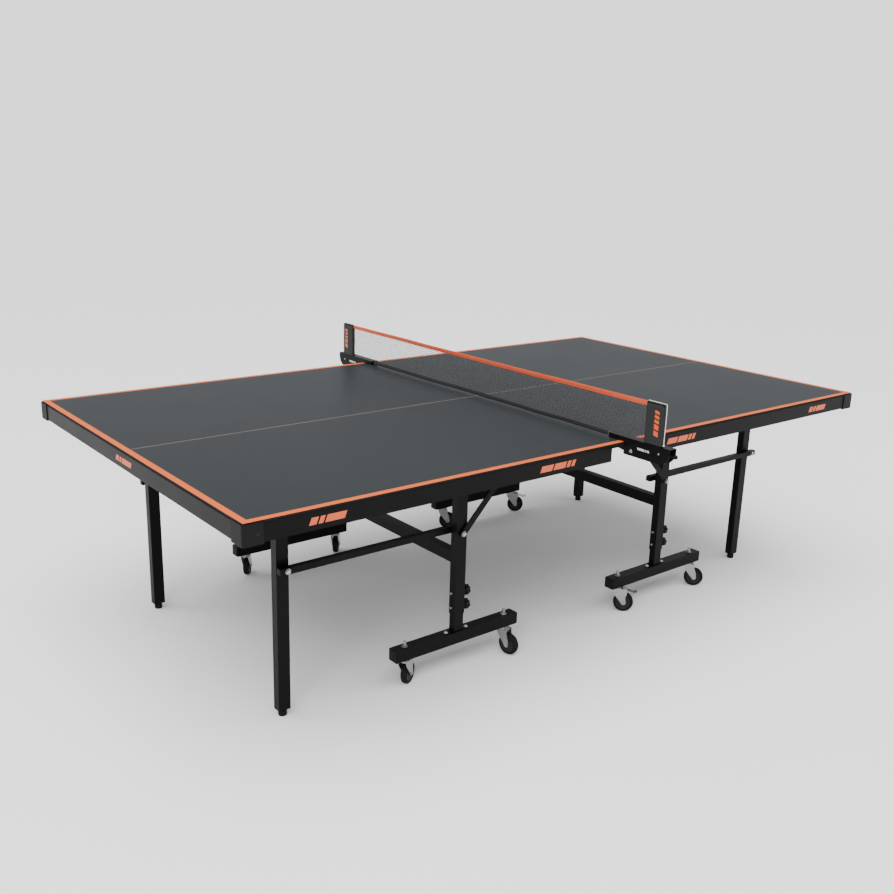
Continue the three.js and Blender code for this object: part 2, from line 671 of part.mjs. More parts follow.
// The castor headings are in degrees in the half's frame: each wheel trails that way from its stem.
function makeHalf(word, sideWord, headings) {
  const half = new THREE.Group();
  const add = (name, made, material, parent = half) => {
    const mesh = piece(`${word}_${name}`, made, material);
    parent.add(mesh);
    return mesh;
  };
  add("board", boardSolid(), FINISH.playing_surface);
  add("apron_frame", frameSolid(), FINISH.black_frame);
  add("post_frame", postFrameSolid(), FINISH.black_frame);
  add("leg_frame", legFrameSolid(), FINISH.black_frame);

  const foot = footSolid();
  for (const side of [-1, 1]) {
    const where = sideWord(side);
    add(`corner_cap_${where}`, capSolid(side), FINISH.black_plastic);
    add(`link_bar_${where}`, linkSolid(side), FINISH.black_frame);
    add(`lock_brace_${where}`, braceSolid(side), FINISH.black_frame);
    add(`leveller_${where}`, levellerGeometry(), FINISH.black_plastic).position.set(LEG_X, side * LEG_Y, 0);
    add(`roller_foot_${where}`, foot, FINISH.black_frame).position.set(POST_X, side * POST_Y, 0);

    const knob = add(`clamp_knob_${where}`, knobSolid(), FINISH.black_plastic);
    knob.position.set(POST_X, side * POST_Y, KNOB_Z[0]);
    knob.rotation.z = side < 0 ? 0 : Math.PI;

    for (const end of [-1, 1]) {
      const place = `${end < 0 ? "inner" : "outer"}_${where}`;
      const braked = end === side * headings.brakedEnd;
      const castor = new THREE.Group();
      castor.position.set(POST_X + end * STEM_SPACING, side * POST_Y, 0);
      castor.rotation.z = THREE.MathUtils.degToRad(headings[`${end}_${side}`]);
      half.add(castor);
      add(`castor_fork_${place}`, forkSolid(braked), FINISH.zinc, castor);
      add(`castor_wheel_${place}`, wheelGeometry(), FINISH.wheel_rubber, castor).position.set(
        TRAIL,
        0,
        WHEEL_RADIUS,
      );
      if (braked) add(`brake_pedal_${place}`, pedalSolid(), FINISH.zinc, castor);
    }
  }
  return half;
}

// ---- The net set, carried by the half at +X ----

// One clamp with its net post, on the side of the table at +Y.
function clampSolid() {
  const edge = HALF_WIDTH - BOARD_INSET;
  const inner = edge - CLAMP_GRIP;
  const outer = edge + CLAMP_OUT;
  const low = BOARD_UNDER - CLAMP_BELOW;
  const cheek = polygon([
    [inner, CLAMP_TOP_Z],
    [inner, TABLE_HEIGHT + FIT],
    [edge + FIT, TABLE_HEIGHT + FIT],
    [edge + FIT, low],
    [outer - 42, low],
    [outer - 20, low + 6],
    [outer - 6, low + 20],
    [outer, low + 38],
    [outer, CLAMP_TOP_Z],
  ]);
  const cheeks = [
    plateYZ(cheek, CLAMP_X0, CLAMP_X0 + CLAMP_SHEET),
    plateYZ(cheek, CLAMP_X1 - CLAMP_SHEET, CLAMP_X1),
  ];
  const crown = block(CLAMP_X0, CLAMP_X1, inner, outer, CLAMP_TOP_Z - CLAMP_SHEET, CLAMP_TOP_Z);
  const pad = block(CLAMP_X0, CLAMP_X1, inner, edge, TABLE_HEIGHT + FIT, TABLE_HEIGHT + FIT + 3);
  const back = block(CLAMP_X0, CLAMP_X1, edge + FIT, edge + FIT + CLAMP_SHEET, BOARD_UNDER, CLAMP_TOP_Z);
  const { radius, ...centre } = jawPin();
  const pin = bar("x", CLAMP_X0 - 2, CLAMP_X1 + 2, radius, centre);
  const heads = [
    bar("x", CLAMP_X0 - 2, CLAMP_X0, radius + 3, centre),
    bar("x", CLAMP_X1, CLAMP_X1 + 2, radius + 3, centre),
  ];
  const post = block(
    NET_X - NET_POST_THICK / 2,
    NET_X + NET_POST_THICK / 2,
    NET_POST_IN,
    NET_POST_OUT,
    CLAMP_TOP_Z - 1,
    NET_TOP - SLEEVE_WALL - SLEEVE_SLACK,
  );
  return join(...cheeks, crown, pad, back, pin, ...heads, post);
}

function jawPin() {
  return { y: HALF_WIDTH + JAW_PIN.out, z: TABLE_HEIGHT - JAW_PIN.down, radius: JAW_PIN.radius };
}

// The lower jaw, which turns on the clamp's cross pin and opens when its lever is pushed up.
function jawSolid() {
  const { y, z, radius } = jawPin();
  const edge = HALF_WIDTH - BOARD_INSET;
  const x0 = CLAMP_X0 + CLAMP_SHEET + 1.5;
  const x1 = CLAMP_X1 - CLAMP_SHEET - 1.5;
  const top = BOARD_UNDER - FIT;
  const arm = polygon([
    [edge - CLAMP_GRIP + 12, top],
    [edge - CLAMP_GRIP + 12, top - 5],
    [edge - 8, top - JAW_THICK],
    [y + 8, z - 8],
    [y + 16, z],
    [y + 16, z + 8],
    [y + 2, z + 9],
    [edge + FIT, top],
  ]);
  const start = new THREE.Vector3((x0 + x1) / 2, y + 10, z + 3);
  const reach = HALF_WIDTH + CLAMP_OUT + 10;
  const lift = reach - start.y - 10;
  const end = new THREE.Vector3(start.x, reach, start.z + lift * Math.tan(THREE.MathUtils.degToRad(JAW_SWING)));
  const section = new THREE.Shape();
  section.absarc(0, 0, LEVER_RADIUS, 0, 2 * Math.PI);
  const extrudePath = new THREE.LineCurve3(start, end);
  const rod = solidOf(new THREE.ExtrudeGeometry(section, { steps: 1, curveSegments: 4, extrudePath }));
  const sphere = new THREE.SphereGeometry(LEVER_BALL, SMALL_SIDES, 10).translate(end.x, end.y, end.z);
  const bore = bar("x", x0 - 1, x1 + 1, radius + STUD_SLACK, { y, z });
  return cut(join(plateYZ(arm, x0, x1), rod, solidOf(sphere)), bore);
}

// The net with a sleeve at each end that slides over its post.
function netSolid() {
  const sleeveIn = NET_POST_IN - SLEEVE_SLACK - SLEEVE_WALL;
  const clampInner = HALF_WIDTH - BOARD_INSET - CLAMP_GRIP - 4;
  const low = TABLE_HEIGHT + NET_LOW_GAP;
  const high = CLAMP_TOP_Z + 2;
  const sheet = plateYZ(
    polygon([
      [-sleeveIn - 1, high],
      [-clampInner, high],
      [-clampInner, low],
      [clampInner, low],
      [clampInner, high],
      [sleeveIn + 1, high],
      [sleeveIn + 1, NET_TOP],
      [-sleeveIn - 1, NET_TOP],
    ]),
    NET_X - NET_THICK / 2,
    NET_X + NET_THICK / 2,
  );
  const wrap = NET_POST_THICK / 2 + SLEEVE_SLACK;
  const skin = wrap + SLEEVE_WALL;
  const parts = [sheet];
  const pockets = [];
  for (const side of [-1, 1]) {
    const span = (a, b) => [Math.min(side * a, side * b), Math.max(side * a, side * b)];
    const outside = span(sleeveIn, HALF_WIDTH + NET_OVERHANG);
    const inside = span(NET_POST_IN - SLEEVE_SLACK, NET_POST_OUT + SLEEVE_SLACK);
    parts.push(block(NET_X - skin, NET_X + skin, ...outside, high, NET_TOP));
    pockets.push(block(NET_X - wrap, NET_X + wrap, ...inside, high - 1, NET_TOP - SLEEVE_WALL));
  }
  return cut(join(...parts), ...pockets);
}

// The tension cord: out over the top of the sleeve and down its outer edge to the clamp.
function cordGeometry(side) {
  const out = HALF_WIDTH + NET_OVERHANG;
  const away = CORD_RADIUS + 1.5;
  const top = NET_TOP + away;
  const points = [
    [NET_POST_IN + 2, top],
    [out - 12, top],
    [out + away - 2, top],
    [out + away, top - 2],
    [out + away, top - 15],
    [out + away, CLAMP_TOP_Z + FIT],
  ].map(([y, z]) => new THREE.Vector3(NET_X, side * y, z));
  const section = new THREE.Shape();
  section.absarc(0, 0, CORD_RADIUS, 0, 2 * Math.PI);
  const extrudePath = new THREE.CatmullRomCurve3(points, false, "centripetal");
  const geometry = new THREE.ExtrudeGeometry(section, { steps: 18, curveSegments: 4, extrudePath });
  return solidOf(geometry);
}

const netMirror = { near: -1, far: 1 };
function makeNetSet() {
  const set = new THREE.Group();
  set.add(piece("net", netSolid(), FINISH.net_cloth));
  for (const [where, side] of Object.entries(netMirror)) {
    const flip = (made) => (side > 0 ? made : made.mirror([0, 1, 0]));
    set.add(piece(`net_clamp_${where}`, flip(clampSolid()), FINISH.black_frame));
    set.add(piece(`clamp_jaw_${where}`, flip(jawSolid()), FINISH.black_plastic));
    set.add(piece(`net_cord_${where}`, cordGeometry(side), FINISH.cord));
  }
  return set;
}

// ---- The whole table: two equal halves, the one at -X turned end for end ----
const rightHeadings = { "-1_-1": -45, "1_-1": -45, "-1_1": -30, "1_1": -40, brakedEnd: 1 };
const leftHeadings = { "-1_-1": -130, "1_-1": -130, "-1_1": 100, "1_1": -150, brakedEnd: 1 };

const table = new THREE.Group();
table.add(makeHalf("right", (side) => (side < 0 ? "near" : "far"), rightHeadings));
const left = makeHalf("left", (side) => (side < 0 ? "far" : "near"), leftHeadings);
left.rotation.z = Math.PI;
table.add(left, makeNetSet());

export default table;
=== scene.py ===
"""A full-size folding table tennis table: the looks of every piece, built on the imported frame."""

import logging
import math
from dataclasses import dataclass, field
from enum import Enum
from typing import Callable, Iterable, Sequence, Union

import bmesh
import bpy
from mathutils import Matrix, Vector, noise


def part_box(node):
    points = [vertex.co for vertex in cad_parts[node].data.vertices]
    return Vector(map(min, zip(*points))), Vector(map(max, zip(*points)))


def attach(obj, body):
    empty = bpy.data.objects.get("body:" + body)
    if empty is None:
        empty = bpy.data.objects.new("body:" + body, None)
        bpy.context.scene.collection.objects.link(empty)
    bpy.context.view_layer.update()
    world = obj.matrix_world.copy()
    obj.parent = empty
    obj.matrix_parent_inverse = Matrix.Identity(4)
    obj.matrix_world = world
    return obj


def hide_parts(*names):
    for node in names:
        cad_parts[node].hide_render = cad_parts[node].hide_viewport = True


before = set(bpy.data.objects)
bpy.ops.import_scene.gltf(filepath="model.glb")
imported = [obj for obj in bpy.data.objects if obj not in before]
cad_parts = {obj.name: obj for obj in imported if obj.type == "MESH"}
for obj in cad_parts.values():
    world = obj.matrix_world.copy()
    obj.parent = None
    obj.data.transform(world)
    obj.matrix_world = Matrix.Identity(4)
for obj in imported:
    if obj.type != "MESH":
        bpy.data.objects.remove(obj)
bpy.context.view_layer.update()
LOG = logging.getLogger("table")
Point = tuple[float, float, float]


# ---------------------------------------------------------------- shader writing


class Wire:
    """One output of a shader node. Arithmetic on it adds the Math node it stands for."""

    def __init__(self, shader: "Shader", socket: bpy.types.NodeSocket) -> None:
        """Keep the socket."""
        self.shader = shader
        self.socket = socket

    def __add__(self, other: "Value") -> "Wire":
        """This plus other."""
        return self.shader.math("ADD", self, other)

    __radd__ = __add__

    def __sub__(self, other: "Value") -> "Wire":
        """This minus other."""
        return self.shader.math("SUBTRACT", self, other)

    def __rsub__(self, other: "Value") -> "Wire":
        """Other minus this."""
        return self.shader.math("SUBTRACT", other, self)

    def __mul__(self, other: "Value") -> "Wire":
        """This times other."""
        return self.shader.math("MULTIPLY", self, other)

    __rmul__ = __mul__

    def __truediv__(self, other: "Value") -> "Wire":
        """This over other."""
        return self.shader.math("DIVIDE", self, other)

    def __mod__(self, other: "Value") -> "Wire":
        """What is left of this after whole lots of other."""
        return self.shader.math("FLOORED_MODULO", self, other)

    def __gt__(self, other: "Value") -> "Wire":
        """1 where this is more than other, else 0."""
        return self.shader.math("GREATER_THAN", self, other)

    def __lt__(self, other: "Value") -> "Wire":
        """1 where this is less than other, else 0."""
        return self.shader.math("LESS_THAN", self, other)

    def __or__(self, other: "Value") -> "Wire":
        """The larger of the two: one mask or the other."""
        return self.shader.math("MAXIMUM", self, other)

    def __and__(self, other: "Value") -> "Wire":
        """The smaller of the two: both masks at once."""
        return self.shader.math("MINIMUM", self, other)

    def __abs__(self) -> "Wire":
        """This without its sign."""
        return self.shader.math("ABSOLUTE", self)


Value = Union[Wire, float, int, Sequence[float]]


class Shader:
    """A material's node tree, written one node at a time."""

    def __init__(self, name: str) -> None:
        """Start an empty material."""
        self.material = bpy.data.materials.new(name)
        self.material.use_nodes = True
        self.tree = self.material.node_tree
        self.tree.nodes.clear()

    def add(self, kind: str, settings: dict[str, object] | None = None, inputs: dict[str | int, Value] | None = None,
            out: str | int = 0) -> Wire:
        """Add a node.

        Args:
            kind: the node's type, without its ShaderNode prefix.
            settings: properties to set before anything is linked. A key "stops" fills a colour ramp.
            inputs: what goes into each socket, a link or a value.
            out: the output that is wanted.

        Returns:
            The wanted output.
        """
        node = self.tree.nodes.new("ShaderNode" + kind)
        for key, value in (settings or {}).items():
            if key == "stops":
                elements = node.color_ramp.elements
                for index, (place, colour) in enumerate(value):
                    element = elements[index] if index < len(elements) else elements.new(place)
                    element.position, element.color = place, (*colour, 1.0)
            else:
                setattr(node, key, value)
        for key, value in (inputs or {}).items():
            socket = node.inputs[key]
            if isinstance(value, Wire):
                self.tree.links.new(value.socket, socket)
            else:
                socket.default_value = value
        return Wire(self, node.outputs[out])

    def math(self, operation: str, *values: Value) -> Wire:
        """A Math node on numbers."""
        return self.add("Math", {"operation": operation}, dict(enumerate(values)))

    def mix(self, share: Value, first: Value, second: Value) -> Wire:
        """A blend of two colours."""
        colours = [(*c, 1.0) if isinstance(c, tuple) and len(c) == 3 else c for c in (first, second)]
        inputs = {0: share, 6: colours[0], 7: colours[1]}
        return self.add("Mix", {"data_type": "RGBA"}, inputs, out=2)

    def place(self) -> Wire:
        """The place on the piece, in metres."""
        return self.add("TexCoord", out="Object")

    def axes(self, vector: Wire) -> tuple[Wire, Wire, Wire]:
        """The three parts of a vector."""
        first = self.add("SeparateXYZ", inputs={0: vector})
        outputs = first.socket.node.outputs
        return first, Wire(self, outputs[1]), Wire(self, outputs[2])

    def noise(self, scale: float, detail: float = 3.0, rough: float = 0.5, at: Wire | None = None) -> Wire:
        """Smooth noise."""
        inputs = {"Vector": at or self.place(), "Scale": scale, "Detail": detail, "Roughness": rough}
        return self.add("TexNoise", None, inputs)

    def bump(self, height: Wire, depth: float, strength: float = 1.0) -> Wire:
        """A normal from a height."""
        return self.add("Bump", None, {"Height": height, "Distance": depth, "Strength": strength})

    def done(self, inputs: dict[str, Value], see_through: bool = False) -> bpy.types.Material:
        """Close the material with its surface.

        Args:
            inputs: what goes into the surface's sockets.
            see_through: whether its alpha matters.

        Returns:
            The material.
        """
        clean = {k: (*v, 1.0) if isinstance(v, tuple) and len(v) == 3 else v for k, v in inputs.items()}
        surface = self.add("BsdfPrincipled", None, clean)
        output = self.tree.nodes.new("ShaderNodeOutputMaterial")
        self.tree.links.new(surface.socket, output.inputs["Surface"])
        if see_through:
            self.material.surface_render_method = "DITHERED"
        return self.material


# ---------------------------------------------------------------- finishes

Colour = tuple[float, float, float]
_made: dict[object, bpy.types.Material] = {}


def tint(colour: Colour, by: float) -> Colour:
    """A colour made lighter or darker."""
    return tuple(c * by for c in colour)


class Finish:
    """A finish that is made once and shared."""

    def material(self) -> bpy.types.Material:
        """The finish's material, made on first use."""
        if self not in _made:
            _made[self] = self.write()
        return _made[self]

    def write(self) -> bpy.types.Material:
        """Write the material's nodes."""
        raise NotImplementedError


ORANGE: Colour = (0.56, 0.085, 0.015)


@dataclass(frozen=True)
class TablePaint(Finish):
    """Rolled satin table paint with its printed lines."""

    field_colour: Colour = (0.0185, 0.0220, 0.0245)
    line_colour: Colour = (0.60, 0.115, 0.022)
    middle_colour: Colour = (0.20, 0.165, 0.125)
    edge_colour: Colour = (0.006, 0.006, 0.0065)
    half_length: float = 1.3677
    half_width: float = 0.7602
    border: float = 0.020
    middle: float = 0.0015

    def write(self) -> bpy.types.Material:
        """Write the material's nodes."""
        s = Shader("table_paint")
        x, y, z = s.axes(s.place())
        side = abs(y) > self.half_width - self.border
        end = abs(x) > self.half_length - self.border
        upper = z > 0.7592
        cloud = s.noise(3.0, 4.0, 0.6)
        grain = s.noise(900.0, 2.0)
        field = s.mix(cloud, tint(self.field_colour, 0.90), tint(self.field_colour, 1.12))
        line = s.mix(s.noise(60.0), tint(self.line_colour, 0.95), self.line_colour)
        base = s.mix(abs(y) < self.middle, field, self.middle_colour)
        base = s.mix(side | end, base, line)
        flecks = s.mix(s.noise(420.0, 4.0, 0.7), self.edge_colour, tint(self.edge_colour, 2.2))
        rough = 0.40 + cloud * 0.08 + grain * 0.06
        return s.done({
            "Base Color": s.mix(upper, flecks, base),
            "Roughness": rough + (1 - upper) * 0.2,
            "Normal": s.bump(grain, 0.00004, 0.6),
            "Specular IOR Level": 0.07,
        })


@dataclass(frozen=True)
class PowderCoat(Finish):
    """Black baked powder on steel, with its fine orange peel."""

    colour: Colour = (0.0024, 0.0024, 0.0026)
    roughness: float = 0.34

    def write(self) -> bpy.types.Material:
        """Write the material's nodes."""
        s = Shader("black_powder_coat")
        peel = s.noise(520.0, 2.0, 0.45)
        dust = s.noise(9.0, 5.0, 0.6)
        colour = s.mix(dust, self.colour, tint(self.colour, 1.5))
        return s.done({
            "Base Color": colour,
            "Roughness": self.roughness + dust * 0.12,
            "Normal": s.bump(peel, 0.00012, 0.55),
            "Specular IOR Level": 0.07,
        })


@dataclass(frozen=True)
class Moulding(Finish):
    """Moulded black plastic with a spark-eroded grain."""

    name: str = "moulded_plastic"
    colour: Colour = (0.0040, 0.0040, 0.0042)
    roughness: float = 0.48
    grain: float = 1400.0

    def write(self) -> bpy.types.Material:
        """Write the material's nodes."""
        s = Shader(self.name)
        fine = s.noise(self.grain, 3.0, 0.6)
        wide = s.noise(22.0, 3.0)
        return s.done({
            "Base Color": s.mix(wide, self.colour, tint(self.colour, 1.45)),
            "Roughness": self.roughness + fine * 0.14,
            "Normal": s.bump(fine, 0.00006, 0.7),
            "Specular IOR Level": 0.10,
        })


@dataclass(frozen=True)
class Rubber(Finish):
    """Matte black rubber, faintly scuffed."""

    name: str = "black_rubber"
    colour: Colour = (0.006, 0.006, 0.006)

    def write(self) -> bpy.types.Material:
        """Write the material's nodes."""
        s = Shader(self.name)
        scuff = s.noise(160.0, 5.0, 0.7)
        dusty = s.add("ValToRGB", {"stops": [(0.45, (0, 0, 0)), (0.75, (1, 1, 1))]}, {"Fac": scuff})
        return s.done({
            "Base Color": s.mix(dusty, self.colour, tint(self.colour, 2.6)),
            "Roughness": 0.68 + scuff * 0.2,
            "Normal": s.bump(scuff, 0.0001, 0.5),
            "Specular IOR Level": 0.10,
        })


@dataclass(frozen=True)
class ZincPlate(Finish):
    """Bright zinc plating with soft spangle and handling marks."""

    colour: Colour = (0.40, 0.405, 0.41)

    def write(self) -> bpy.types.Material:
        """Write the material's nodes."""
        s = Shader("zinc_plate")
        spangle = s.add("TexVoronoi", {"feature": "F1"}, {"Vector": s.place(), "Scale": 240.0}, out="Distance")
        marks = s.noise(70.0, 5.0, 0.65)
        return s.done({
            "Base Color": s.mix(marks, tint(self.colour, 0.72), self.colour),
            "Metallic": 1.0,
            "Roughness": 0.20 + marks * 0.22 + spangle * 0.08,
            "Normal": s.bump(marks, 0.00005, 0.5),
        })


@dataclass(frozen=True)
class Netting(Finish):
    """Knotted mesh: threads with open squares between them."""

    cell: float = 0.0075
    thread: float = 0.0015
    colour: Colour = (0.020, 0.021, 0.022)

    def write(self) -> bpy.types.Material:
        """Write the material's nodes."""
        s = Shader("netting")
        x, y, z = s.axes(s.place())
        lean = s.noise(14.0, 2.0) * 0.0012
        across = (y + lean + 2.0) % self.cell
        up = (z + lean) % self.cell
        edge_y = s.math("MINIMUM", across, self.cell - across)
        edge_z = s.math("MINIMUM", up, self.cell - up)
        threads = (edge_y < self.thread / 2) | (edge_z < self.thread / 2)
        knots = (edge_y + edge_z) < self.thread * 1.05
        fibre = s.noise(1500.0, 2.0)
        return s.done({
            "Base Color": s.mix(fibre, tint(self.colour, 0.7), tint(self.colour, 1.4)),
            "Roughness": 0.8 + fibre * 0.1,
            "Alpha": threads | knots,
            "Normal": s.bump(fibre, 0.0002, 0.6),
        }, see_through=True)


@dataclass(frozen=True)
class Webbing(Finish):
    """Woven tape or sleeve cloth, with its warp and weft."""

    name: str = "black_webbing"
    colour: Colour = (0.011, 0.011, 0.013)
    pitch: float = 0.0011

    def write(self) -> bpy.types.Material:
        """Write the material's nodes."""
        s = Shader(self.name)
        x, y, z = s.axes(s.place())
        turn = 2 * math.pi / self.pitch
        warp = s.math("SINE", y * turn)
        weft = s.math("SINE", z * turn)
        weave = (warp * weft) * 0.5 + 0.5
        slub = s.noise(220.0, 4.0, 0.6)
        wear = s.noise(18.0, 3.0)
        colour = s.mix(weave * 0.6 + slub * 0.4, tint(self.colour, 0.70), tint(self.colour, 1.18))
        return s.done({
            "Base Color": s.mix(wear * 0.35, colour, tint(self.colour, 0.8)),
            "Roughness": 0.74 + slub * 0.16,
            "Normal": s.bump(weave * 0.7 + slub * 0.3, 0.00025, 0.55),
            "Sheen Weight": 0.03,
            "Sheen Roughness": 0.5,
        })


@dataclass(frozen=True)
class Rope(Finish):
    """Thin pale cord, laid in twisted strands."""

    colour: Colour = (0.66, 0.64, 0.58)

    def write(self) -> bpy.types.Material:
        """Write the material's nodes."""
        s = Shader("twisted_cord")
        x, y, z = s.axes(s.place())
        strands = s.math("SINE", (y + z) * 2600.0 + x * 1500.0) * 0.5 + 0.5
        soil = s.noise(90.0, 3.0)
        return s.done({
            "Base Color": s.mix(strands * 0.7 + soil * 0.3, tint(self.colour, 0.62), self.colour),
            "Roughness": 0.78 + soil * 0.12,
            "Normal": s.bump(strands, 0.0003, 0.6),
        })


@dataclass(frozen=True)
class Print(Finish):
    """Screen-printed ink."""

    name: str
    colour: Colour

    def write(self) -> bpy.types.Material:
        """Write the material's nodes."""
        s = Shader(self.name)
        ink = s.noise(300.0, 4.0, 0.6)
        return s.done({
            "Base Color": s.mix(ink, tint(self.colour, 0.82), self.colour),
            "Roughness": 0.42 + ink * 0.12,
            "Normal": s.bump(ink, 0.00003, 0.5),
        })


@dataclass(frozen=True)
class PaleFloor(Finish):
    """A plain pale studio floor."""

    colour: Colour = (0.86, 0.86, 0.86)

    def write(self) -> bpy.types.Material:
        """Write the material's nodes."""
        s = Shader("pale_floor")
        soft = s.noise(2.0, 3.0)
        return s.done({
            "Base Color": s.mix(soft, tint(self.colour, 0.992), self.colour),
            "Roughness": 0.75 + soft * 0.1,
            "Specular IOR Level": 0.2,
        })


PAINT = TablePaint()
POWDER = PowderCoat()
PLASTIC = Moulding()
KNOB_PLASTIC = Moulding("knob_plastic", (0.0045, 0.0045, 0.0048), 0.36, 900.0)
CORE_PLASTIC = Moulding("wheel_core_plastic", (0.012, 0.012, 0.013), 0.34, 700.0)
TREAD = Rubber("tread_rubber", (0.0048, 0.0048, 0.005))
FOOT_RUBBER = Rubber("foot_rubber", (0.0055, 0.0055, 0.0055))
ZINC = ZincPlate()
NETTING = Netting()
TOP_TAPE = Webbing("orange_tape", (0.50, 0.060, 0.012), 0.0013)
LOW_TAPE = Webbing("black_tape", (0.0042, 0.0042, 0.0048), 0.0013)
SLEEVE_CLOTH = Webbing("sleeve_cloth", (0.0032, 0.0032, 0.0036), 0.0010)
THREAD_STITCH = Webbing("stitch_thread", (0.014, 0.014, 0.015), 0.0006)
ROPE = Rope()
BLACK_SCREW = Moulding("blackened_screw", (0.008, 0.008, 0.008), 0.3, 500.0)
ORANGE_INK = Print("orange_ink", ORANGE)
WHITE_INK = Print("white_ink", (0.42, 0.42, 0.42))


# ---------------------------------------------------------------- mesh making


class Axis(Enum):
    """The way a turned or extruded form points."""

    X = (1.0, 0.0, 0.0)
    Y = (0.0, 1.0, 0.0)
    Z = (0.0, 0.0, 1.0)
    MINUS_X = (-1.0, 0.0, 0.0)
    MINUS_Y = (0.0, -1.0, 0.0)

    def turn(self) -> Matrix:
        """The rotation that takes +Z to this axis."""
        return Vector((0, 0, 1)).rotation_difference(Vector(self.value)).to_matrix().to_4x4()

    @classmethod
    def out_y(cls, side: int) -> "Axis":
        """The axis along Y that points to one side."""
        return cls.Y if side > 0 else cls.MINUS_Y

    @classmethod
    def out_x(cls, side: int) -> "Axis":
        """The axis along X that points to one side."""
        return cls.X if side > 0 else cls.MINUS_X


def millimetres(profile: Iterable[tuple[float, float]]) -> list[tuple[float, float]]:
    """A profile given in millimetres, in metres."""
    return [(a / 1000, b / 1000) for a, b in profile]


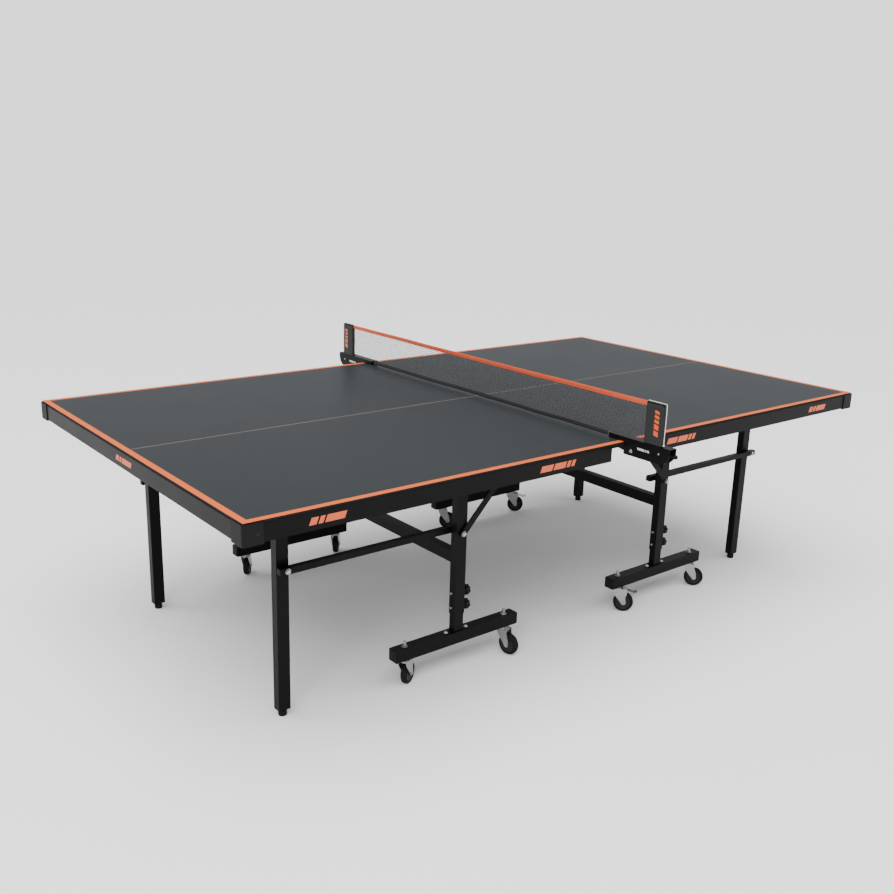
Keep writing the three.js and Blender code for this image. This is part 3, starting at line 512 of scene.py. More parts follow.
class Form:
    """A mesh put together from rounded blocks, turned profiles, prisms and swept tubes, in metres."""

    def __init__(self) -> None:
        """Start with nothing."""
        self.bm = bmesh.new()

    def _paint(self, old: set[bmesh.types.BMFace], coat: int) -> None:
        """Give the faces made since then a material place."""
        for face in self.bm.faces:
            if face not in old:
                face.material_index = coat

    def block(self, low: Point, high: Point, soft: float = 0.001, steps: int = 2, coat: int = 0) -> "Form":
        """Add a block with rounded edges.

        Args:
            low: its lowest corner.
            high: its highest corner.
            soft: the radius of its edges.
            steps: segments in each rounded edge.
            coat: the index among the piece's finishes.

        Returns:
            This form.
        """
        old = set(self.bm.faces)
        centre = [(a + b) / 2 for a, b in zip(low, high)]
        size = [b - a for a, b in zip(low, high)]
        matrix = Matrix.Translation(centre) @ Matrix.Diagonal((*size, 1.0))
        made = bmesh.ops.create_cube(self.bm, size=1.0, matrix=matrix)["verts"]
        edges = list({e for v in made for e in v.link_edges})
        if soft > 0:
            bmesh.ops.bevel(self.bm, geom=edges, offset=soft, segments=steps, profile=0.5, affect="EDGES")
        self._paint(old, coat)
        return self

    def turned(self, profile: Sequence[tuple[float, float]], at: Point, axis: Axis = Axis.Z, sides: int = 48,
               coat: Callable[[float, float], int] | int = 0, lobes: int = 0, lobe_depth: float = 0.0,
               lobe_from: float = 1.0) -> "Form":
        """Add a turned form.

        Args:
            profile: its radius and its height along the axis, from one end to the other.
            at: where its axis starts.
            axis: the way it points.
            sides: how many sides it has.
            coat: the index among the piece's finishes, or what gives it from a radius and a height.
            lobes: how many finger lobes the wide part has.
            lobe_depth: how deep the hollows between the lobes are, as a share of the radius.
            lobe_from: the radius from which the lobes start.

        Returns:
            This form.
        """
        matrix = Matrix.Translation(at) @ axis.turn()
        rings: list[list[bmesh.types.BMVert]] = []
        for radius, height in profile:
            if radius < 1e-6:
                rings.append([self.bm.verts.new(matrix @ Vector((0, 0, height)))])
                continue
            ring = []
            for index in range(sides):
                angle = 2 * math.pi * index / sides
                r = radius
                if lobes and radius >= lobe_from:
                    r *= 1 - lobe_depth * (0.5 - 0.5 * math.cos(lobes * angle)) ** 2
                ring.append(self.bm.verts.new(matrix @ Vector((r * math.cos(angle), r * math.sin(angle), height))))
            rings.append(ring)
        for index in range(len(rings) - 1):
            first, second = rings[index], rings[index + 1]
            middle = [(a + b) / 2 for a, b in zip(profile[index], profile[index + 1])]
            paint = coat(*middle) if callable(coat) else coat
            for k in range(sides):
                n = (k + 1) % sides
                corners = [first[k % len(first)], first[n % len(first)],
                           second[n % len(second)], second[k % len(second)]]
                unique = list(dict.fromkeys(corners))
                if len(unique) > 2:
                    self.bm.faces.new(unique).material_index = paint
        return self

    def prism(self, outline: Sequence[tuple[float, float]], place: Callable[[float, float, float], Point],
              start: float, stop: float, coat: int = 0) -> "Form":
        """Add a flat outline with a thickness.

        Args:
            outline: its corners, in order.
            place: gives a point from the outline's two values and the thickness.
            start: where the thickness starts.
            stop: where it stops.
            coat: the index among the piece's finishes.

        Returns:
            This form.
        """
        lower = [self.bm.verts.new(place(a, b, start)) for a, b in outline]
        upper = [self.bm.verts.new(place(a, b, stop)) for a, b in outline]
        count = len(outline)
        faces = [self.bm.faces.new(lower), self.bm.faces.new(upper[::-1])]
        faces += [self.bm.faces.new([lower[k], upper[k], upper[(k + 1) % count], lower[(k + 1) % count]])
                  for k in range(count)]
        for face in faces:
            face.material_index = coat
        return self

    def loft(self, rings: Sequence[Sequence[bmesh.types.BMVert]], coat: int = 0, closed: bool = True) -> "Form":
        """Join rows of points with faces.

        Args:
            rings: the rows, of one length.
            coat: the index among the piece's finishes.
            closed: whether each row is a ring, whose last point joins its first.

        Returns:
            This form.
        """
        for first, second in zip(rings, rings[1:]):
            count = len(first)
            for k in range(count if closed else count - 1):
                n = (k + 1) % count
                self.bm.faces.new([first[k], first[n], second[n], second[k]]).material_index = coat
        return self

    def cap(self, *rings: Sequence[bmesh.types.BMVert], coat: int = 0) -> "Form":
        """Close each ring of points with one face."""
        for ring in rings:
            self.bm.faces.new(ring).material_index = coat
        return self

    def tube(self, points: Sequence[Point], radius: float, sides: int = 12, coat: int = 0) -> "Form":
        """Add a round tube along a line of points, closed at both ends.

        Args:
            points: the points it follows.
            radius: its radius.
            sides: how many sides it has.
            coat: the index among the piece's finishes.

        Returns:
            This form.
        """
        line = [Vector(p) for p in points]
        side = Vector((1, 0, 0))
        rings = []
        for index, point in enumerate(line):
            ahead = line[min(index + 1, len(line) - 1)] - line[max(index - 1, 0)]
            ahead.normalize()
            if abs(ahead.dot(side)) > 0.95:
                side = ahead.orthogonal()
            side = (side - ahead * side.dot(ahead)).normalized()
            across = ahead.cross(side)
            rings.append([self.bm.verts.new(point + radius * (side * math.cos(a) + across * math.sin(a)))
                          for a in (2 * math.pi * k / sides for k in range(sides))])
        return self.loft(rings, coat).cap(rings[0][::-1], rings[-1], coat=coat)

    def hexagon(self, radius: float, low: float, high: float, at: Point, axis: Axis = Axis.Z,
                coat: int = 0) -> "Form":
        """Add a chamfered hexagon nut or head."""
        small = radius * 0.88
        drop = min(0.12 * radius, (high - low) / 3)
        profile = [(0, low), (radius, low), (radius, high - drop), (small, high), (0, high)]
        return self.turned(profile, at, axis, 6, coat)

    def piece(self, name: str, finishes: Sequence[Finish], body: str, slot: str, where: Matrix | None = None,
              sharp: float = 38.0, soften: float = 0.0) -> bpy.types.Object:
        """Close the mesh as a piece that rides on a body.

        Args:
            name: the piece's name.
            finishes: its finishes.
            body: the body it rides on.
            slot: not used.
            where: a transform for its points.
            sharp: the angle over which an edge stays sharp, in degrees.
            soften: the radius of a rounding modifier, if it has one.

        Returns:
            The piece.
        """
        if where is not None:
            self.bm.transform(where)
        bmesh.ops.recalc_face_normals(self.bm, faces=self.bm.faces)
        mesh = bpy.data.meshes.new(name)
        self.bm.to_mesh(mesh)
        self.bm.free()
        for finish in finishes:
            mesh.materials.append(finish.material())
        mesh.polygons.foreach_set("use_smooth", [True] * len(mesh.polygons))
        mesh.set_sharp_from_angle(angle=math.radians(sharp))
        made = bpy.data.objects.new(name, mesh)
        bpy.context.scene.collection.objects.link(made)
        if soften > 0:
            rounding(made, soften)
        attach(made, body)
        LOG.info("%s rides on %s", name, body)
        return made


def rounding(thing: bpy.types.Object, width: float, steps: int = 2, angle: float = 40.0) -> None:
    """Round a piece's sharp edges with modifiers.

    Args:
        thing: the piece.
        width: the radius.
        steps: segments in each rounded edge.
        angle: the angle over which an edge is rounded, in degrees.
    """
    bevel = thing.modifiers.new("rounding", "BEVEL")
    bevel.width = width
    bevel.segments = steps
    bevel.limit_method = "ANGLE"
    bevel.angle_limit = math.radians(angle)
    bevel.use_clamp_overlap = True
    bevel.harden_normals = True


def dress(node: str, finish: Finish, width: float = 0.0008, steps: int = 2, angle: float = 40.0) -> bpy.types.Object:
    """Give a frame solid its finish and rounded edges.

    Args:
        node: the solid's name.
        finish: its finish.
        width: the radius of its edges.
        steps: segments in each rounded edge.
        angle: the angle over which an edge is rounded, in degrees.

    Returns:
        The solid's object.
    """
    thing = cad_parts[node]
    thing.data.materials.clear()
    thing.data.materials.append(finish.material())
    thing.data.polygons.foreach_set("use_smooth", [True] * len(thing.data.polygons))
    thing.data.set_sharp_from_angle(angle=math.radians(35.0))
    rounding(thing, width, steps, angle)
    LOG.info("%s dressed", node)
    return thing


def slanted_bars(form: Form, place: Callable[[float, float, float], Point], widths: Iterable[float], height: float,
                 gap: float, lean: float, coat: int = 0, thick: float = 0.0002) -> Form:
    """Add a row of slanted bars, a plain printed trim.

    Args:
        form: the form they go in.
        place: gives a point from the distance along, the distance up and the thickness.
        widths: the bars' widths, in order.
        height: their height.
        gap: the gap between bars.
        lean: how far the top leans along.
        coat: the index among the piece's finishes.
        thick: the ink's thickness.

    Returns:
        The form.
    """
    sizes = list(widths)
    along = -(sum(sizes) + gap * (len(sizes) - 1)) / 2
    for width in sizes:
        outline = [(along - lean / 2, -height / 2), (along + width - lean / 2, -height / 2),
                   (along + width + lean / 2, height / 2), (along + lean / 2, height / 2)]
        form.prism(outline, place, 0.0, thick, coat)
        along += width + gap
    return form


# ---------------------------------------------------------------- the two halves


class Word(Enum):
    """Which half: its name, and its turn about the middle of the table."""

    RIGHT = ("right", 0.0)
    LEFT = ("left", math.pi)

    @property
    def text(self) -> str:
        """The half's name."""
        return self.value[0]

    @property
    def turn(self) -> Matrix:
        """The rotation from the half's own frame to the table's."""
        return Matrix.Rotation(self.value[1], 4, "Z")

    def where(self, side: int) -> str:
        """The name of one side."""
        sign = side if self is Word.RIGHT else -side
        return "near" if sign < 0 else "far"


@dataclass
class Top:
    """One half's board with its apron frame, caps and printed trim."""

    word: Word
    half_width: float = 0.7625
    half_length: float = 1.370
    trim_height: float = 0.7265
    trim: tuple[tuple[float, tuple[float, ...]], ...] = (
        (0.295, (0.050, 0.050, 0.014, 0.014)), (1.125, (0.022, 0.014, 0.060)))
    screw_radius: float = 0.0042
    screw_in: float = 0.040
    screw_height: float = 0.727

    @property
    def body(self) -> str:
        """The body it rides on."""
        return f"{self.word.text}_top"

    def build(self) -> None:
        """Make the trim and the screws."""
        self._trim()
        self._screws()

    def dress(self) -> None:
        """Finish the frame's solids."""
        word = self.word.text
        dress(f"{word}_board", PAINT, 0.0006, 2, 60.0)
        dress(f"{word}_apron_frame", POWDER, 0.0006, 2)
        for side in (-1, 1):
            dress(f"{word}_corner_cap_{self.word.where(side)}", PLASTIC, 0.0011, 3)

    def _trim(self) -> None:
        """Print slanted bars on the sides and the end of the apron."""
        form = Form()
        for side in (-1, 1):
            for x, bars in self.trim:
                slanted_bars(form, lambda a, b, t, x=x, side=side: (
                    x - side * a, side * (self.half_width + t), self.trim_height + b),
                    bars, 0.020, 0.006, 0.008)
        slanted_bars(form, lambda a, b, t: (self.half_length + t, a, self.trim_height + b),
                     (0.022, 0.014, 0.070), 0.018, 0.006, 0.007)
        form.piece(f"{self.word.text}_apron_trim", [ORANGE_INK], self.body, "black_frame", self.word.turn)

    def _screws(self) -> None:
        """Put a pan-head screw in each arm of each cap."""
        head = [(0, 0.0016), (self.screw_radius * 0.6, 0.0014), (self.screw_radius, 0.0004), (self.screw_radius, 0.0)]
        form = Form()
        for side in (-1, 1):
            beside = (self.half_length - self.screw_in, side * (self.half_width + 0.0028), self.screw_height)
            behind = (self.half_length + 0.0012, side * (self.half_width - self.screw_in), self.screw_height)
            form.turned(head, beside, Axis.out_y(side), 20)
            form.turned(head, behind, Axis.X, 20)
        form.piece(f"{self.word.text}_cap_screws", [BLACK_SCREW], self.body, "black_frame", self.word.turn)


@dataclass
class Castor:
    """A swivel castor with its wheel, and a brake pedal where it has one."""

    word: Word
    side: int
    end: int
    heading: float
    post_x: float = 0.495
    post_y: float = 0.535
    spacing: float = 0.209
    trail: float = 0.028
    radius: float = 0.0375
    core: float = 0.0272
    spoke: float = 0.017

    @property
    def place(self) -> str:
        """The castor's place in words."""
        return ("inner" if self.end < 0 else "outer") + "_" + self.word.where(self.side)

    @property
    def where(self) -> Matrix:
        """The castor's own frame: its stem on Z and its wheel trailing along +X."""
        stem = Matrix.Translation((self.post_x + self.end * self.spacing, self.side * self.post_y, 0))
        return self.word.turn @ stem @ Matrix.Rotation(math.radians(self.heading), 4, "Z")

    def build(self) -> None:
        """Make the wheel and the stem's thread."""
        half = [(4.3, 10.6), (9.0, 11.0), (11.0, 10.7), (12.0, 8.6), (13.0, 8.0), (21.0, 7.4), (24.5, 7.9),
                (26.5, 9.6), (28.0, 10.5), (30.5, 10.9), (33.5, 10.3), (36.0, 8.3), (37.2, 5.4), (37.5, 2.0)]
        profile = millimetres([(r, -h) for r, h in half] + half[::-1])
        profile.append(profile[0])
        stud = [(0, 0.0003), (0.0024, 0.0003), (0.0030, 0.0), (0.0031, -0.0012)]
        wheel = Form().turned(profile, (self.trail, 0, self.radius), Axis.Y, 72,
                              lambda r, h: 0 if r > self.core else 1)
        for index in range(6):
            angle = math.pi * index / 3
            x = self.trail + self.spoke * math.cos(angle)
            z = self.radius + self.spoke * math.sin(angle)
            for face in (-1, 1):
                wheel.turned(stud, (x, face * 0.0079, z), Axis.out_y(face), 16, 1)
        name = f"{self.word.text}_wheel_{self.place}"
        made = wheel.piece(f"{name}_tyred", [TREAD, CORE_PLASTIC], name, "wheel_rubber", self.where, 45.0)
        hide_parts(f"{self.word.text}_castor_wheel_{self.place}")
        self._stem()

    def _stem(self) -> None:
        """Cut the thread that stands over the stem's nut, and put a washer under the nut."""
        teeth: list[tuple[float, float]] = []
        for index in range(8):
            z = 0.1475 + index * 0.00135
            teeth += [(0.00512, z), (0.00512, z + 0.0003), (0.0046, z + 0.0008), (0.0046, z + 0.0010)]
        profile = [(0.0, 0.1474), *teeth, (0.0042, 0.1586), (0.0, 0.1586)]
        form = Form().turned(profile, (0, 0, 0), Axis.Z, 28)
        form.turned([(0.0052, 0.1401), (0.0112, 0.1401), (0.0112, 0.1412), (0.0052, 0.1412)], (0, 0, 0), Axis.Z, 32)
        body = f"{self.word.text}_fork_{self.place}"
        form.piece(f"{body}_thread", [ZINC], body, "zinc", self.where, 30.0)

    def dress(self) -> None:
        """Finish the frame's solids."""
        dress(f"{self.word.text}_castor_fork_{self.place}", ZINC, 0.0005, 2, 32.0)
        if self.end == self.side:
            dress(f"{self.word.text}_brake_pedal_{self.place}", ZINC, 0.0006, 2, 32.0)


@dataclass
class Trolley:
    """One half's posts, beam and roller feet, with their knobs and plugs."""

    word: Word
    post_x: float = 0.495
    post_y: float = 0.535
    tube_x: float = 0.040
    foot_half: float = 0.2525
    foot_low: float = 0.100
    foot_high: float = 0.140
    knob_heights: tuple[float, float] = (0.274, 0.224)
    headings: dict[tuple[int, int], float] = field(default_factory=dict)

    def castors(self) -> list[Castor]:
        """The trolley's four castors."""
        return [Castor(self.word, side, end, self.headings[end, side]) for side in (-1, 1) for end in (-1, 1)]

    def build(self) -> None:
        """Make the plugs, the knobs and the castors."""
        for side in (-1, 1):
            self._foot_plugs(side)
            self._post_plug(side)
            for index, height in enumerate(self.knob_heights):
                self._knob(side, index, height)
        for castor in self.castors():
            castor.build()

    def dress(self) -> None:
        """Finish the frame's solids."""
        word = self.word.text
        dress(f"{word}_post_frame", POWDER, 0.0012, 3)
        for side in (-1, 1):
            dress(f"{word}_roller_foot_{self.word.where(side)}", POWDER, 0.0013, 3)
        for castor in self.castors():
            castor.dress()

    def _foot_plugs(self, side: int) -> None:
        """Close both ends of a foot with moulded plugs, and put the bolt on its top.

        Args:
            side: which foot.
        """
        form = Form()
        y = side * self.post_y
        for end in (-1, 1):
            x = self.post_x + end * self.foot_half
            low, high = sorted((x - end * 0.012, x + end * 0.0022))
            form.block((low, y - 0.0179, self.foot_low + 0.0021), (high, y + 0.0179, self.foot_high - 0.0021), 0.0012)
            low, high = sorted((x + end * 0.0001, x + end * 0.0030))
            form.block((low, y - 0.0196, self.foot_low + 0.0004), (high, y + 0.0196, self.foot_high - 0.0004),
                       0.0013, 3)
        where = self.word.where(side)
        form.piece(f"{self.word.text}_foot_plugs_{where}", [PLASTIC], f"{self.word.text}_foot_{where}",
                   "black_plastic", self.word.turn)
        bolt = Form()
        for end in (-1, 1):
            at = (self.post_x + end * 0.042, y, self.foot_high)
            bolt.turned([(0, 0.0012), (0.0075, 0.0012), (0.0078, 0.0008), (0.0078, 0)], at, Axis.Z, 32)
            bolt.turned([(0, 0.0052), (0.0022, 0.0050), (0.0046, 0.0036), (0.0056, 0.0012)], at, Axis.Z, 32)
        bolt.piece(f"{self.word.text}_foot_bolts_{where}", [ZINC], f"{self.word.text}_foot_{where}", "zinc",
                   self.word.turn)

    def _post_plug(self, side: int) -> None:
        """Close a post's top with a moulded plug.

        Args:
            side: which post.
        """
        x, y = self.post_x, side * self.post_y
        form = Form().block((x - 0.0195, y - 0.0145, 0.7001), (x + 0.0195, y + 0.0145, 0.7030), 0.0012, 3)
        form.block((x - 0.0180, y - 0.0130, 0.6900), (x + 0.0180, y + 0.0130, 0.7010), 0.0005)
        where = self.word.where(side)
        form.piece(f"{self.word.text}_post_plug_{where}", [PLASTIC], f"{self.word.text}_trolley", "black_plastic",
                   self.word.turn)

    def _knob(self, side: int, index: int, height: float) -> None:
        """Make a lobed clamping knob on its through bolt.

        Args:
            side: which post.
            index: 0 for the upper knob, 1 for the lower.
            height: the height of its bolt.
        """
        out = -side
        at = (self.post_x + out * (self.tube_x / 2 + 0.0003), side * self.post_y, height)
        profile = [(0, 0), (9.5, 0), (10.2, 0.8), (10.0, 6.4), (11.5, 7.8), (15.5, 8.6), (17.2, 9.8), (18.0, 12.5),
                   (18.0, 20.0), (17.0, 23.6), (14.5, 25.6), (11.0, 26.4), (9.6, 26.2), (8.8, 25.2), (0, 25.0)]
        knob = Form().turned(millimetres(profile), at, Axis.out_x(out), 96, 0, 7, 0.15, 0.0143)
        where = self.word.where(side)
        body = f"{self.word.text}_knob_{where}" if index == 0 else f"{self.word.text}_trolley"
        name = f"{self.word.text}_knob_{'upper' if index == 0 else 'lower'}_{where}"
        made = knob.piece(name, [KNOB_PLASTIC], body, "black_plastic", self.word.turn, 30.0)
        back = (self.post_x - out * (self.tube_x / 2), side * self.post_y, height)
        shaft = [(0, -0.0400), (0.0039, -0.0400), (0.0039, 0.0068), (0.0033, 0.0074), (0, 0.0074)]
        bolt = Form().turned(shaft, back, Axis.out_x(-out), 20)
        bolt.piece(f"{name}_bolt", [ZINC], body, "zinc", self.word.turn)
        if index == 0:
            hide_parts(f"{self.word.text}_clamp_knob_{where}")


@dataclass
class BoltSet:
    """The zinc bolt heads and nuts on one half's pivots."""

    word: Word
    post_x: float = 0.495
    leg_x: float = 1.102
    radius: float = 0.0077
    pivot_height: float = 0.685
    link_height: float = 0.482
    pin: Point = (0.285, 0.5698, 0.703)

    def build(self) -> None:
        """Make the heads that stand on the posts, the legs and the lock pins."""
        name = self.word.text
        spots = {
            f"{name}_trolley": [(self.post_x, self.link_height, 0.5583), (self.post_x, self.pivot_height, 0.5500)],
            f"{name}_legs": [(self.leg_x, self.link_height, 0.5078), (self.leg_x, self.pivot_height, 0.4823)],
        }
        for body, heads in spots.items():
            form = Form()
            for side in (-1, 1):
                for x, z, start in heads:
                    self._head(form, (x, side * start, z), side)
            form.piece(f"{body}_bolt_heads", [ZINC], body, "zinc", self.word.turn, 30.0)
        form = Form()
        pin = [(0.0, 0.0031), (0.0040, 0.0029), (0.0058, 0.0018), (0.0064, 0.0003), (0.0064, -0.0014), (0, -0.0014)]
        for side in (-1, 1):
            x, y, z = self.pin
            form.turned(pin, (x, side * y, z), Axis.out_y(side), 28)
        form.piece(f"{name}_pin_heads", [ZINC], f"{name}_top", "zinc", self.word.turn, 30.0)

    def _head(self, form: Form, at: Point, side: int) -> None:
        """Make one flanged hexagon head with a domed bolt end."""
        axis = Axis.out_y(side)
        flange = [(0, 0.0), (self.radius + 0.0015, 0.0), (self.radius + 0.0013, 0.0010), (0, 0.0012)]
        form.turned(flange, at, axis, 32)
        form.hexagon(self.radius, 0.0008, 0.0057, at, axis)
        form.turned([(0.0051, 0.0040), (0.0051, 0.0058), (0.0040, 0.0064), (0, 0.0064)], at, axis, 24)


@dataclass
class Linkage:
    """One half's link bars and locking braces, with their plugs."""

    word: Word
    start: float = 0.461
    stop: float = 1.124
    inner: float = 0.4875
    outer: float = 0.5075
    low: float = 0.472
    high: float = 0.492

    def build(self) -> None:
        """Make the plugs in the link bars' ends."""
        form = Form()
        for side in (-1, 1):
            y0, y1 = sorted((side * self.inner, side * self.outer))
            for x, way in ((self.start, -1), (self.stop, 1)):
                a, b = sorted((x + way * 0.0001, x + way * 0.0024))
                form.block((a, y0 + 0.0003, self.low + 0.0003), (b, y1 - 0.0003, self.high - 0.0003), 0.0010, 3)
                a, b = sorted((x - way * 0.008, x + way * 0.0010))
                form.block((a, y0 + 0.0016, self.low + 0.0016), (b, y1 - 0.0016, self.high - 0.0016), 0.0004)
        form.piece(f"{self.word.text}_link_plugs", [PLASTIC], f"{self.word.text}_links", "black_plastic",
                   self.word.turn)

    def dress(self) -> None:
        """Finish the frame's solids."""
        for side in (-1, 1):
            where = self.word.where(side)
            dress(f"{self.word.text}_link_bar_{where}", POWDER, 0.0010, 3)
            dress(f"{self.word.text}_lock_brace_{where}", POWDER, 0.0004, 2)


@dataclass
class EndLegs:
    """One half's end legs with their levelling feet."""

    word: Word
    leg_x: float = 1.102
    leg_y: float = 0.460

    def build(self) -> None:
        """Make the plugs and the levelling feet."""
        plugs = Form()
        profile = [(0, 0.0), (11.0, 0.0), (12.6, 0.8), (13.5, 2.6), (13.5, 8.0), (12.9, 8.8), (12.9, 9.6),
                   (13.4, 10.4), (13.4, 14.6), (12.4, 18.0), (10.4, 20.6), (8.8, 21.7), (5.0, 21.7), (5.0, 40.0), (0, 40.0)]
        for side in (-1, 1):
            x, y = self.leg_x, side * self.leg_y
            plugs.block((x - 0.0195, y - 0.0145, 0.7001), (x + 0.0195, y + 0.0145, 0.7030), 0.0012, 3)
            where = self.word.where(side)
            foot = Form().turned(millimetres(profile), (x, y, 0), Axis.Z, 48)
            made = foot.piece(f"{self.word.text}_level_foot_{where}", [FOOT_RUBBER],
                              f"{self.word.text}_leveller_{where}", "black_rubber", self.word.turn, 32.0)
            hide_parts(f"{self.word.text}_leveller_{where}")
        plugs.piece(f"{self.word.text}_leg_plugs", [PLASTIC], f"{self.word.text}_legs", "black_plastic",
                    self.word.turn)

    def dress(self) -> None:
        """Finish the frame's solids."""
        dress(f"{self.word.text}_leg_frame", POWDER, 0.0012, 3)


# ---------------------------------------------------------------- the net


@dataclass
class NetSet:
    """The net with its tapes, sleeves, cords and clamps, carried by the right half."""

    x: float = 0.008
    top: float = 0.9125
    low: float = 0.7650
    panel_half: float = 0.8430
    sleeve_in: float = 0.8399
    sleeve_out: float = 0.9150
    sleeve_low: float = 0.7785
    sleeve_half: float = 0.0078
    tape_height: float = 0.016
    low_tape_height: float = 0.015
    low_tape_reach: float = 0.6829
    tape_half: float = 0.0016
    hem: float = 0.003
    sag: float = 0.0022
    cord_radius: float = 0.00125
    rivets: tuple[tuple[float, float, float, tuple[float, float]], ...] = (
        (0.7925, 0.735, 0.0064, (-0.0002, 0.0360)), (0.905, 0.752, 0.0036, (0.0020, 0.0342)))

    def build(self) -> None:
        """Make the soft pieces and the small metal ones."""
        tapes = [self._tape("net_top_tape", self.top - self.tape_height, self.top, TOP_TAPE, self.sleeve_in + 0.001),
                 self._tape("net_low_tape", self.low, self.low + self.low_tape_height, LOW_TAPE, self.low_tape_reach)]
        sleeves = [self._sleeve(side) for side in (-1, 1)]
        panel = self._panel()
        for side in (-1, 1):
            self._cord(side)
            self._lever(side)
            self._marks(side)

    def dress(self) -> None:
        """Finish the frame's solids."""
        for where in ("near", "far"):
            dress(f"net_clamp_{where}", POWDER, 0.0008, 3)

    def _drop(self, y: float, z: float) -> float:
        """How far the net hangs down at a place."""
        share = max(0.0, 1 - (y / self.panel_half) ** 2)
        ripple = 0.0016 * share * noise.noise(Vector((y * 5.1, 2.0, 0.0)))
        return ripple + self.sag * share * (z - self.low) / (self.top - self.low)

    def _wave(self, y: float, z: float) -> float:
        """How far the net stands off its plane at a place."""
        loose = max(0.0, 1 - (y / self.panel_half) ** 6) * (1.0 - 0.7 * (z - self.low) / (self.top - self.low))
        return loose * 0.0075 * noise.noise(Vector((y * 4.3, z * 9.0, 0.3)))

    def _panel(self) -> bpy.types.Object:
        """The netting, one thin sheet."""
        form = Form()
        columns, rows = 240, 16
        bottom, top = self.low + self.hem, self.top - self.hem
        grid = []
        for j in range(rows + 1):
            z = bottom + (top - bottom) * j / rows
            line = []
            for i in range(columns + 1):
                y = -self.panel_half + 2 * self.panel_half * i / columns
                edge = 0.0 if abs(y) < 0.684 else 0.014 * max(0.0, 1 - (z - bottom) / 0.03)
                line.append(form.bm.verts.new((self.x + self._wave(y, z), y, z - self._drop(y, z) + edge)))
            grid.append(line)
        form.loft(grid, closed=False)
        made = form.piece("net_panel", [NETTING], "right_top", "net_cloth", None, 80.0)
        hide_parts("net")
        return made

    def _tape(self, name: str, low: float, high: float, finish: Finish, reach: float) -> bpy.types.Object:
        """A folded tape sewn along one edge of the netting, puckered by its stitches.

        Args:
            name: the piece's name.
            low: its lower edge.
            high: its upper edge.
            finish: its cloth.
            reach: how far it runs each way.

        Returns:
            The tape.
        """
        form = Form()
        section = [(-0.6, 0.0), (-1.0, 0.12), (-1.0, 0.80), (-0.75, 0.95), (0.0, 1.0), (0.75, 0.95), (1.0, 0.80),
                   (1.0, 0.12), (0.6, 0.0)]
        count = 200
        rings = []
        for i in range(count + 1):
            y = -reach + 2 * reach * i / count
            ring = []
            for across, up in section:
                z = low + (high - low) * up
                pucker = 1 + 0.10 * math.sin(y * 900.0) * (1 - up)
                x = self.x + self._wave(y, z) + across * self.tape_half * pucker
                ring.append(form.bm.verts.new((x, y, z - self._drop(y, z))))
            rings.append(ring)
        form.loft(rings).cap(rings[0][::-1], rings[-1])
        return form.piece(name, [finish], "right_top", "net_cloth", None, 50.0)

    def _sleeve(self, side: int) -> bpy.types.Object:
        """The cloth sleeve round one net post, sewn along its inner edge and its top.

        Args:
            side: -1 or 1.

        Returns:
            The sleeve.
        """
        form = Form()
        middle = (self.sleeve_in + self.sleeve_out) / 2
        half = (self.sleeve_out - self.sleeve_in) / 2
        around, levels = 48, 28
        rings = []
        for j in range(levels + 1):
            up = j / levels
            z = self.sleeve_low + (self.top - self.sleeve_low) * up
            close = 1.0 if up < 0.90 else math.sqrt(max(0.0, 1 - ((up - 0.90) / 0.10) ** 2)) * 0.75 + 0.25
            ring = []
            for k in range(around):
                angle = 2 * math.pi * k / around
                c, s = math.cos(angle), math.sin(angle)
                px = math.copysign(abs(c) ** 0.45, c)
                py = math.copysign(abs(s) ** 0.28, s)
                ripple = 1 - 0.05 * abs(noise.noise(Vector((py * 2.0, z * 40.0, px + side))))
                x = self.x + px * self.sleeve_half * 0.99 * close * ripple
                y = side * (middle + py * half * (0.985 + 0.015 * close) * (1 - 0.004 * abs(1 - ripple)))
                ring.append(form.bm.verts.new((x, y, z)))
            rings.append(ring)
        form.loft(rings).cap(rings[-1])
        seam_y = side * (self.sleeve_in + 0.0035)
        for face in (-1, 1):
            count = 30
            for i in range(count):
                z = self.sleeve_low + 0.003 + (self.top - 0.014 - self.sleeve_low) * i / count
                x = self.x + face * self.sleeve_half * 0.93
                stitch = [(x, seam_y, z), (x + face * 0.0004, seam_y, z + 0.0012), (x, seam_y, z + 0.0024)]
                form.tube(stitch, 0.0004, 6, 1)
        ink = Form()
        for face in (-1, 1):
            slanted_bars(ink, lambda a, b, t, face=face: (
                self.x + face * (self.sleeve_half + t), side * 0.888 + b, 0.848 + a),
                (0.016, 0.016, 0.010, 0.010, 0.010), 0.018, 0.005, 0.004, 0, 0.0003)
        where = "near" if side < 0 else "far"
        ink.piece(f"net_sleeve_trim_{where}", [ORANGE_INK], "right_top", "net_cloth")
        return form.piece(f"net_sleeve_{where}", [SLEEVE_CLOTH, THREAD_STITCH], "right_top", "net_cloth", None, 70.0)

    def _cord(self, side: int) -> None:
        """The tension cord over a sleeve and down its outer edge, with its knot.

        Args:
            side: -1 or 1.
        """
        out = self.sleeve_out + self.cord_radius + 0.0015
        high = self.top + self.cord_radius + 0.0009
        bend = 0.004
        line: list[Point] = [(self.x, side * y, high) for y in (0.8440, 0.8600, 0.8800, 0.9000)]
        for index in range(9):
            angle = math.pi / 2 * index / 8
            line.append((self.x, side * (out - bend + bend * math.sin(angle)), high - bend + bend * math.cos(angle)))
        steps = 22
        for index in range(1, steps + 1):
            share = index / steps
            z = high - bend - (high - bend - 0.7790) * share
            line.append((self.x + 0.0006 * math.sin(share * 5), side * out, z))
        form = Form().tube(line, self.cord_radius, 12)
        form.turned([(0, -0.0034), (0.0022, -0.0026), (0.0031, 0), (0.0024, 0.0024), (0, 0.0034)],
                    (self.x, side * out, 0.7815), Axis.Z, 16)
        where = "near" if side < 0 else "far"
        made = form.piece(f"net_tie_cord_{where}", [ROPE], "right_top", "cord")
        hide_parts(f"net_cord_{where}")

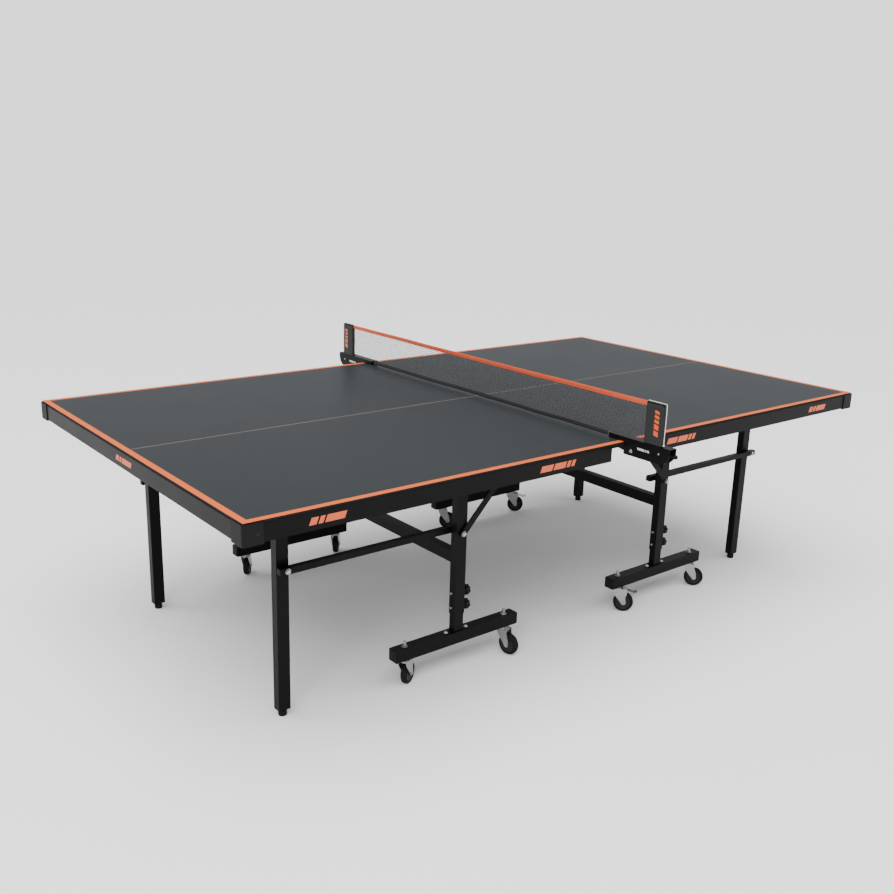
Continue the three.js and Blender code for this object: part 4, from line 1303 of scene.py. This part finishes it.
    def _lever(self, side: int) -> None:
        """The lower jaw with its rod and ball.

        Args:
            side: -1 or 1.
        """
        where = "near" if side < 0 else "far"
        dress(f"clamp_jaw_{where}", PLASTIC, 0.0007, 2, 32.0)
        low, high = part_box(f"clamp_jaw_{where}")
        tip = high.y if side > 0 else low.y
        ball = 0.0070
        centre = (0.018, tip - side * ball, high.z - ball)
        angles = [math.pi * k / 16 for k in range(17)]
        profile = [(ball * 1.005 * math.sin(a), -ball * 1.005 * math.cos(a)) for a in angles]
        form = Form().turned(profile, centre, Axis.Z, 32)
        form.piece(f"jaw_ball_{where}", [KNOB_PLASTIC], f"jaw_{where}", "black_plastic", None, 60.0)
        rivets = Form()
        for y, z, radius, spots in self.rivets:
            dome = [(0, 0.0016), (radius * 0.5, 0.0013), (radius * 0.9, 0.0006), (radius, -0.0004)]
            for x, axis in zip(spots, (Axis.MINUS_X, Axis.X)):
                rivets.turned(dome, (x, side * y, z), axis, 28)
        rivets.piece(f"clamp_rivets_{where}", [ZINC], "right_top", "zinc")

    def _marks(self, side: int) -> None:
        """The plain printed bars on the clamp's cheeks.

        Args:
            side: -1 or 1.
        """
        where = "near" if side < 0 else "far"
        form = Form()
        for x, way in ((0.0020, -1), (0.0340, 1)):
            slanted_bars(form, lambda a, b, t, x=x, way=way: (x + way * t, side * 0.842 + a, 0.7495 + b),
                         (0.008, 0.005, 0.030), 0.0075, 0.003, 0.003)
        form.piece(f"clamp_marks_{where}", [WHITE_INK], "right_top", "black_frame")


# ---------------------------------------------------------------- the studio


@dataclass
class Studio:
    """The floor, the lights and the camera."""

    eye: Point = (-2.4276, -2.8565, 1.6248)
    azimuth: float = 51.11
    elevation: float = -15.93
    roll: float = 1.68
    lens: float = 40.53
    strength: float = 1.7
    room: tuple[tuple[float, float], ...] = ((0.0, 1.0), (0.15, 1.0), (0.40, 0.20), (0.72, 0.20), (0.90, 0.60))

    def build(self) -> None:
        """Make all of it."""
        self._camera()
        self._floor()
        self._world()
        self._ceiling(4.4)
        self._light("front_panel", (-4.5, -4.0, 3.2), (0, 0, 0.5), 3.0, 200.0)
        self._light("side_panel", (4.5, -3.5, 2.6), (0.4, 0, 0.5), 2.5, 70.0)
        self._light("left_panel", (-4.5, 3.0, 3.0), (0, 0, 0.7), 2.5, 60.0)

    def _camera(self) -> None:
        """Put the camera in its place."""
        az, el, roll = (math.radians(a) for a in (self.azimuth, self.elevation, self.roll))
        ahead = Vector((math.cos(el) * math.cos(az), math.cos(el) * math.sin(az), math.sin(el)))
        right = ahead.cross(Vector((0, 0, 1))).normalized()
        up = right.cross(ahead)
        across = math.cos(roll) * right + math.sin(roll) * up
        upward = -math.sin(roll) * right + math.cos(roll) * up
        data = bpy.data.cameras.new("camera")
        data.lens = self.lens
        data.sensor_width = 36.0
        made = bpy.data.objects.new("camera", data)
        made.matrix_world = Matrix.Translation(self.eye) @ Matrix((across, upward, -ahead)).transposed().to_4x4()
        bpy.context.scene.collection.objects.link(made)
        bpy.context.scene.camera = made

    def _floor(self) -> None:
        """Lay the floor."""
        form = Form()
        reach = 30.0
        corners = [form.bm.verts.new((x * reach, y * reach, 0.0)) for x, y in ((-1, -1), (1, -1), (1, 1), (-1, 1))]
        form.bm.faces.new(corners)
        mesh = bpy.data.meshes.new("floor")
        form.bm.to_mesh(mesh)
        form.bm.free()
        mesh.materials.append(PaleFloor().material())
        floor = bpy.data.objects.new("floor", mesh)
        bpy.context.scene.collection.objects.link(floor)

    def _world(self) -> None:
        """Fill the room with soft light: a pale backdrop, dimmer walls over it and a pale ceiling."""
        world = bpy.data.worlds.new("room")
        world.use_nodes = True
        tree = world.node_tree
        way = tree.nodes.new("ShaderNodeTexCoord")
        parts = tree.nodes.new("ShaderNodeSeparateXYZ")
        ramp = tree.nodes.new("ShaderNodeValToRGB")
        for index, (height, tone) in enumerate(self.room):
            elements = ramp.color_ramp.elements
            element = elements[index] if index < len(elements) else elements.new(height)
            element.position, element.color = height, (tone, tone, tone * 1.01, 1.0)
        tree.links.new(way.outputs["Generated"], parts.inputs[0])
        tree.links.new(parts.outputs["Z"], ramp.inputs["Fac"])
        tree.links.new(ramp.outputs["Color"], tree.nodes["Background"].inputs["Color"])
        tree.nodes["Background"].inputs["Strength"].default_value = self.strength
        bpy.context.scene.world = world

    def _ceiling(self, strength: float) -> None:
        """Light everything evenly from above, as a whole pale ceiling does.

        Args:
            strength: its strength in watts on each square metre.
        """
        data = bpy.data.lights.new("ceiling", "SUN")
        data.energy = strength
        data.angle = math.radians(70)
        made = bpy.data.objects.new("ceiling", data)
        made.rotation_euler = (math.radians(8), math.radians(-14), 0.0)
        bpy.context.scene.collection.objects.link(made)

    def _light(self, name: str, at: Point, to: Point, size: float, power: float) -> None:
        """Hang a soft panel.

        Args:
            name: the light's name.
            at: where it hangs.
            to: what it points at.
            size: its width.
            power: its power in watts.
        """
        data = bpy.data.lights.new(name, "AREA")
        data.shape = "SQUARE"
        data.size = size
        data.energy = power
        made = bpy.data.objects.new(name, data)
        made.location = at
        made.rotation_euler = (Vector(to) - Vector(at)).to_track_quat("-Z", "Y").to_euler()
        bpy.context.scene.collection.objects.link(made)


# ---------------------------------------------------------------- all of it

HEADINGS: dict[Word, dict[tuple[int, int], float]] = {
    Word.RIGHT: {(-1, -1): -45, (1, -1): -45, (-1, 1): -30, (1, 1): -40},
    Word.LEFT: {(-1, -1): -130, (1, -1): -130, (-1, 1): 100, (1, 1): -150},
}


def main() -> None:
    """Build the studio, both halves and the net, in that order."""
    logging.basicConfig(level=logging.INFO, format="%(message)s")
    Studio().build()
    for word in Word:
        for part in (Top(word), Trolley(word, headings=HEADINGS[word]), Linkage(word), EndLegs(word)):
            part.build()
            part.dress()
            LOG.info("%s %s done", word.text, type(part).__name__)
        BoltSet(word).build()
    net = NetSet()
    net.build()
    net.dress()


if __name__ == "__main__":
    main()
